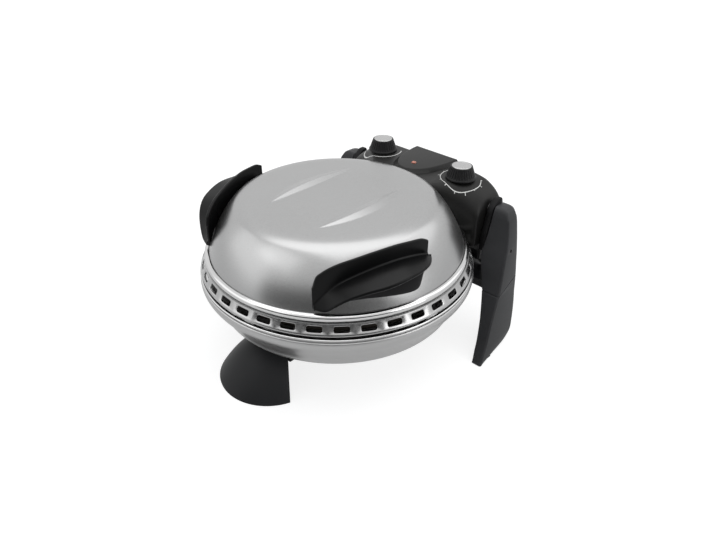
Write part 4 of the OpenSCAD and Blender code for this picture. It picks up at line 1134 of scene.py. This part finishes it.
def leg_ring(z, x0, x1, y0, y1, back_r):
    """Outline of a leg at height z, from its inner, outer, front and back faces."""
    small = min(1.6, (x1 - x0) / 3)
    front = min(LEG_FRONT_R, (x1 - x0) / 3, (y1 - y0) / 3)
    back = min(back_r, (x1 - x0) * 0.6, (y1 - y0) / 3)
    draw = min(BACK_DRAW_MOST, max(0, (BACK_DRAW_FROM - z) * BACK_DRAW))
    corners = [((x0 + small, y0 + small), small, 180), ((x1 - front, y0 + front), front, 270),
               ((x1 - draw - back, y1 - back), back, 0), ((x0 + small, y1 - small), small, 90)]
    points = []
    for centre, r, start in corners:
        points += arc(centre, r, start, start + 90, 6)
    return [(x, y, z) for x, y in points]


def leg_rings(inner):
    """Rings of the leg's outline, with its inner face no nearer the middle than inner."""
    rings = []
    for z, x0, y0, y1, r in smooth_rows(LEG_ROWS, 4):
        outer = LEG_OUT - LEG_LEAN * z - max(0, z) / 18
        rings.append(leg_ring(z, max(x0 + LEG_SIDE, inner), outer, y0 + LEG_BACK, y1 + LEG_BACK, r))
    start = (36, LEG_OUT - LEG_SIDE - LEG_LEAN * 36 - 2, 163, 188.5, 12)
    for z, x1, y0, y1, r in smooth_rows([start] + LEG_TOP_ROWS, 4)[1:]:
        rings.append(leg_ring(z, inner, x1 + LEG_SIDE, y0 + LEG_BACK, y1 + LEG_BACK, r))
    return rings


def keep_side(made, above):
    """Cuts a leg's mesh at its slanted seam and rounds the new edge."""
    bm = bmesh.new()
    bm.from_mesh(made.data)
    normal = Vector((0, -sin(SEAM_TILT), cos(SEAM_TILT)))
    point = to_world((0, SEAM_Y, SEAM_Z)) + normal * (SEAM_GAP if above else -SEAM_GAP) / 1000
    cut_geom = bmesh.ops.bisect_plane(bm, geom=bm.verts[:] + bm.edges[:] + bm.faces[:],
                                      plane_co=point, plane_no=normal, clear_inner=above,
                                      clear_outer=not above)
    rim = [g for g in cut_geom["geom_cut"] if isinstance(g, bmesh.types.BMEdge)]
    bmesh.ops.contextual_create(bm, geom=rim)
    rim = [e for e in bm.edges if all(abs((v.co - point).dot(normal)) < 1e-6 for v in e.verts)
           and len(e.link_faces) == 2]
    bmesh.ops.bevel(bm, geom=rim, offset=SEAM_ROUND, segments=3, affect="EDGES", clamp_overlap=True)
    bmesh.ops.recalc_face_normals(bm, faces=bm.faces)
    bm.to_mesh(made.data)
    bm.free()


def cheek_shape():
    """Rounded plate at the leg's inner side, which carries the hinge pin."""
    legs, tops = smooth_rows(LEG_ROWS, 4), smooth_rows(CHEEK_TOP_ROWS, 4)
    front = [(row[0], row[2]) for row in legs] + [(row[0], row[1]) for row in tops]
    back = [(row[0], row[3]) for row in legs] + [(row[0], row[2]) for row in tops]
    edge = [(CHEEK_FOOT, at(face, CHEEK_FROM)[1]) for face in (front, back)]
    edge += [p for p in back + front[::-1] if p[0] > CHEEK_FROM + 0.5]
    line = [(y + LEG_BACK, z) for z, y in edge]
    levels = [(0, 1.3), (0.4, 0.4), (1.3, 0), (CHEEK_T - 1.9, 0), (CHEEK_T - 1.0, 0.4),
              (CHEEK_T - 0.6, 1.3)]
    return loft([[(LEG_IN + x, y, z) for y, z in inset(line, shrink)] for x, shrink in levels])


HOLE_Y, HOLE_Z = 162 + LEG_BACK, -4.5
HOLE_R = 2.5
HOLE_DEEP = 2.2
# Share of the outer face's draw that is reached at the hole
HOLE_DRAW = 0.3


def hole_shape():
    """A short rod through the cover's outer face, which leaves the screw hole in it."""
    face = LEG_OUT - LEG_LEAN * HOLE_Z - BACK_DRAW * (BACK_DRAW_FROM - HOLE_Z) * HOLE_DRAW
    line = arc((HOLE_Y, HOLE_Z), HOLE_R, 0, 345, 23)
    return loft([[(x, y, z) for y, z in line] for x in (face - HOLE_DEEP, face + 8)])


for side, word in SIDES:
    hole = object_of("screw hole", mirrored(hole_shape(), side))
    leg = mirrored(loft(leg_rings(LEG_IN + CHEEK_T + 0.2)), side)
    for part, above in (("cover", True), ("shoe", False)):
        made = piece(f"leg_{part}_skin_{word}", leg, "base", "leg_plastic", [f"leg_{part}_{word}"],
                     angle=40, cutters=[hole] if above else [])
        keep_side(made, above)
        smooth(made, 34)
    bpy.data.objects.remove(hole)
    piece(f"leg_cheek_{word}", mirrored(cheek_shape(), side), "base", "frame_plastic",
          [f"leg_frame_{word}"], angle=40)

# Web that joins the bracket's plates over the bolt, below the sweep of the housing's ears

WEB_IN = LEG_IN - 22
WEB_FRONT, WEB_BACK = 157 + LEG_BACK, 184 + LEG_BACK
WEB_TOP, WEB_LOW = -21, -36
for side, word in SIDES:
    x0, x1 = sorted((side * WEB_IN, side * (LEG_IN + 0.2)))
    web = block(x0, x1, WEB_FRONT, WEB_BACK, WEB_LOW, WEB_TOP, 2.5)
    piece(f"bracket_web_{word}", web, "base", "bracket_metal", [], angle=40)

for tool in (envelope, inner_housing, bowl_room):
    bpy.data.objects.remove(tool)

# ---------- stage, lamps and camera ----------


# Distances from the middle in metres between which the floor's lift to white rises, and that lift
LIFT_FROM, LIFT_TO = 0.7, 3.2
NEAR_LIFT, FAR_LIFT = 0.78, 1.0
FLOOR_SHADE = 0.42
# How much of the lift reflections see
FLOOR_MIRRORED = 0.66


def seen_white(tree, mirrored_share):
    """One for the rays of cameras and glass, a share of it for mirrors, zero for the rest."""
    rays = new_node(tree, "LightPath").outputs
    clear = combined(tree, "MAXIMUM", rays["Is Camera Ray"], rays["Is Transmission Ray"])
    glossy = combined(tree, "MULTIPLY", rays["Is Glossy Ray"], mirrored_share)
    return combined(tree, "MAXIMUM", clear, glossy)


def floor_white():
    """A pale matt floor, lifted to white where it is seen, which keeps the shadow on it."""
    material = bpy.data.materials.new("floor white")
    material.use_nodes = True
    tree = material.node_tree
    tree.nodes.clear()
    matt = fill(new_node(tree, "BsdfDiffuse"), Color=(*grey(FLOOR_SHADE), 1))
    glow = new_node(tree, "Emission")
    reach = new_node(tree, "VectorMath", operation="LENGTH")
    put(reach.inputs[0], new_node(tree, "TexCoord").outputs["Object"])
    lift = fill(new_node(tree, "MapRange", interpolation_type="SMOOTHSTEP"),
                Value=reach.outputs["Value"], From_Min=LIFT_FROM, From_Max=LIFT_TO,
                To_Min=NEAR_LIFT, To_Max=FAR_LIFT)
    seen = seen_white(tree, FLOOR_MIRRORED)
    fill(glow, Strength=combined(tree, "MULTIPLY", seen, lift.outputs["Result"]))
    both = new_node(tree, "AddShader")
    put(both.inputs[0], matt.outputs[0])
    put(both.inputs[1], glow.outputs[0])
    fill(new_node(tree, "OutputMaterial"), Surface=both.outputs[0])
    return material


scene = bpy.context.scene
bpy.ops.mesh.primitive_plane_add(size=12, location=(0, 0, 0))
floor = bpy.context.object
floor.name = "floor"
floor.data.materials.append(floor_white())

world = bpy.data.worlds.new("studio")
scene.world = world
world.use_nodes = True
tree = world.node_tree
tree.nodes.clear()
# A dim cool light from all round, and a white backdrop where it is seen
ambient = fill(new_node(tree, "Background"), Color=(0.96, 0.98, 1.0, 1), Strength=0.32)
backdrop = fill(new_node(tree, "Background"), Color=(1, 1, 1, 1), Strength=1.0)
mix = new_node(tree, "MixShader")
for socket, value in zip(mix.inputs, (seen_white(tree, 1.0), ambient.outputs[0], backdrop.outputs[0])):
    put(socket, value)
fill(new_node(tree, "OutputWorld"), Surface=mix.outputs[0])

TARGET = Vector((0.0578, -0.0256, RIM_Z / 1000))
# Name, place, width, height and power of each lamp, and the point it faces
LAMPS = [("overhead", (-0.05, 0.15, 1.75), 2.2, 2.2, 19, Vector((-0.05, 0.15, 0))),
         ("left", (-1.35, -1.5, 0.95), 1.9, 1.2, 4, TARGET),
         ("right", (1.75, 0.35, 0.8), 0.9, 0.9, 5, TARGET),
         ("back right", (0.95, 1.55, 1.35), 1.3, 1.3, 4.5, TARGET),
         ("front", (-0.5, -1.75, 1.55), 1.4, 0.9, 3.2, TARGET)]


def stand(made, place, aim, axis):
    """Puts an object in its place, with its axis towards aim."""
    made.location = place
    made.rotation_euler = (aim - Vector(place)).to_track_quat(axis, "Y").to_euler()


for name, place, wide, tall, power, aim in LAMPS:
    light = bpy.data.lights.new(name, "AREA")
    light.shape = "RECTANGLE"
    light.size, light.size_y, light.energy = wide, tall, power
    lamp = linked(name, light)
    stand(lamp, place, aim, "-Z")
    # The front lamp shows in reflections only
    lamp.visible_diffuse = name != "front"

# A dark flag behind and below the camera, which only reflections see
bpy.ops.mesh.primitive_plane_add(size=1)
flag = bpy.context.object
flag.name = "flag"
flag.scale = (5.0, 0.8, 1)
stand(flag, (1.03, -1.23, 0.35), TARGET, "Z")
dark = bpy.data.materials.new("flag black")
dark.use_nodes = True
fill(dark.node_tree.nodes["Principled BSDF"], Base_Color=(0.03, 0.03, 0.03, 1))
flag.data.materials.append(dark)
for ray in ("camera", "diffuse", "transmission", "volume_scatter", "shadow"):
    setattr(flag, f"visible_{ray}", False)

camera = bpy.data.cameras.new("camera")
camera.sensor_width = 36
camera.lens = 32.27
view = linked("camera", camera)
stand(view, (0.5358, -0.5186, 0.5775), TARGET, "-Z")
camera.clip_start = 0.01
scene.camera = view
scene.view_settings.view_transform = "Standard"
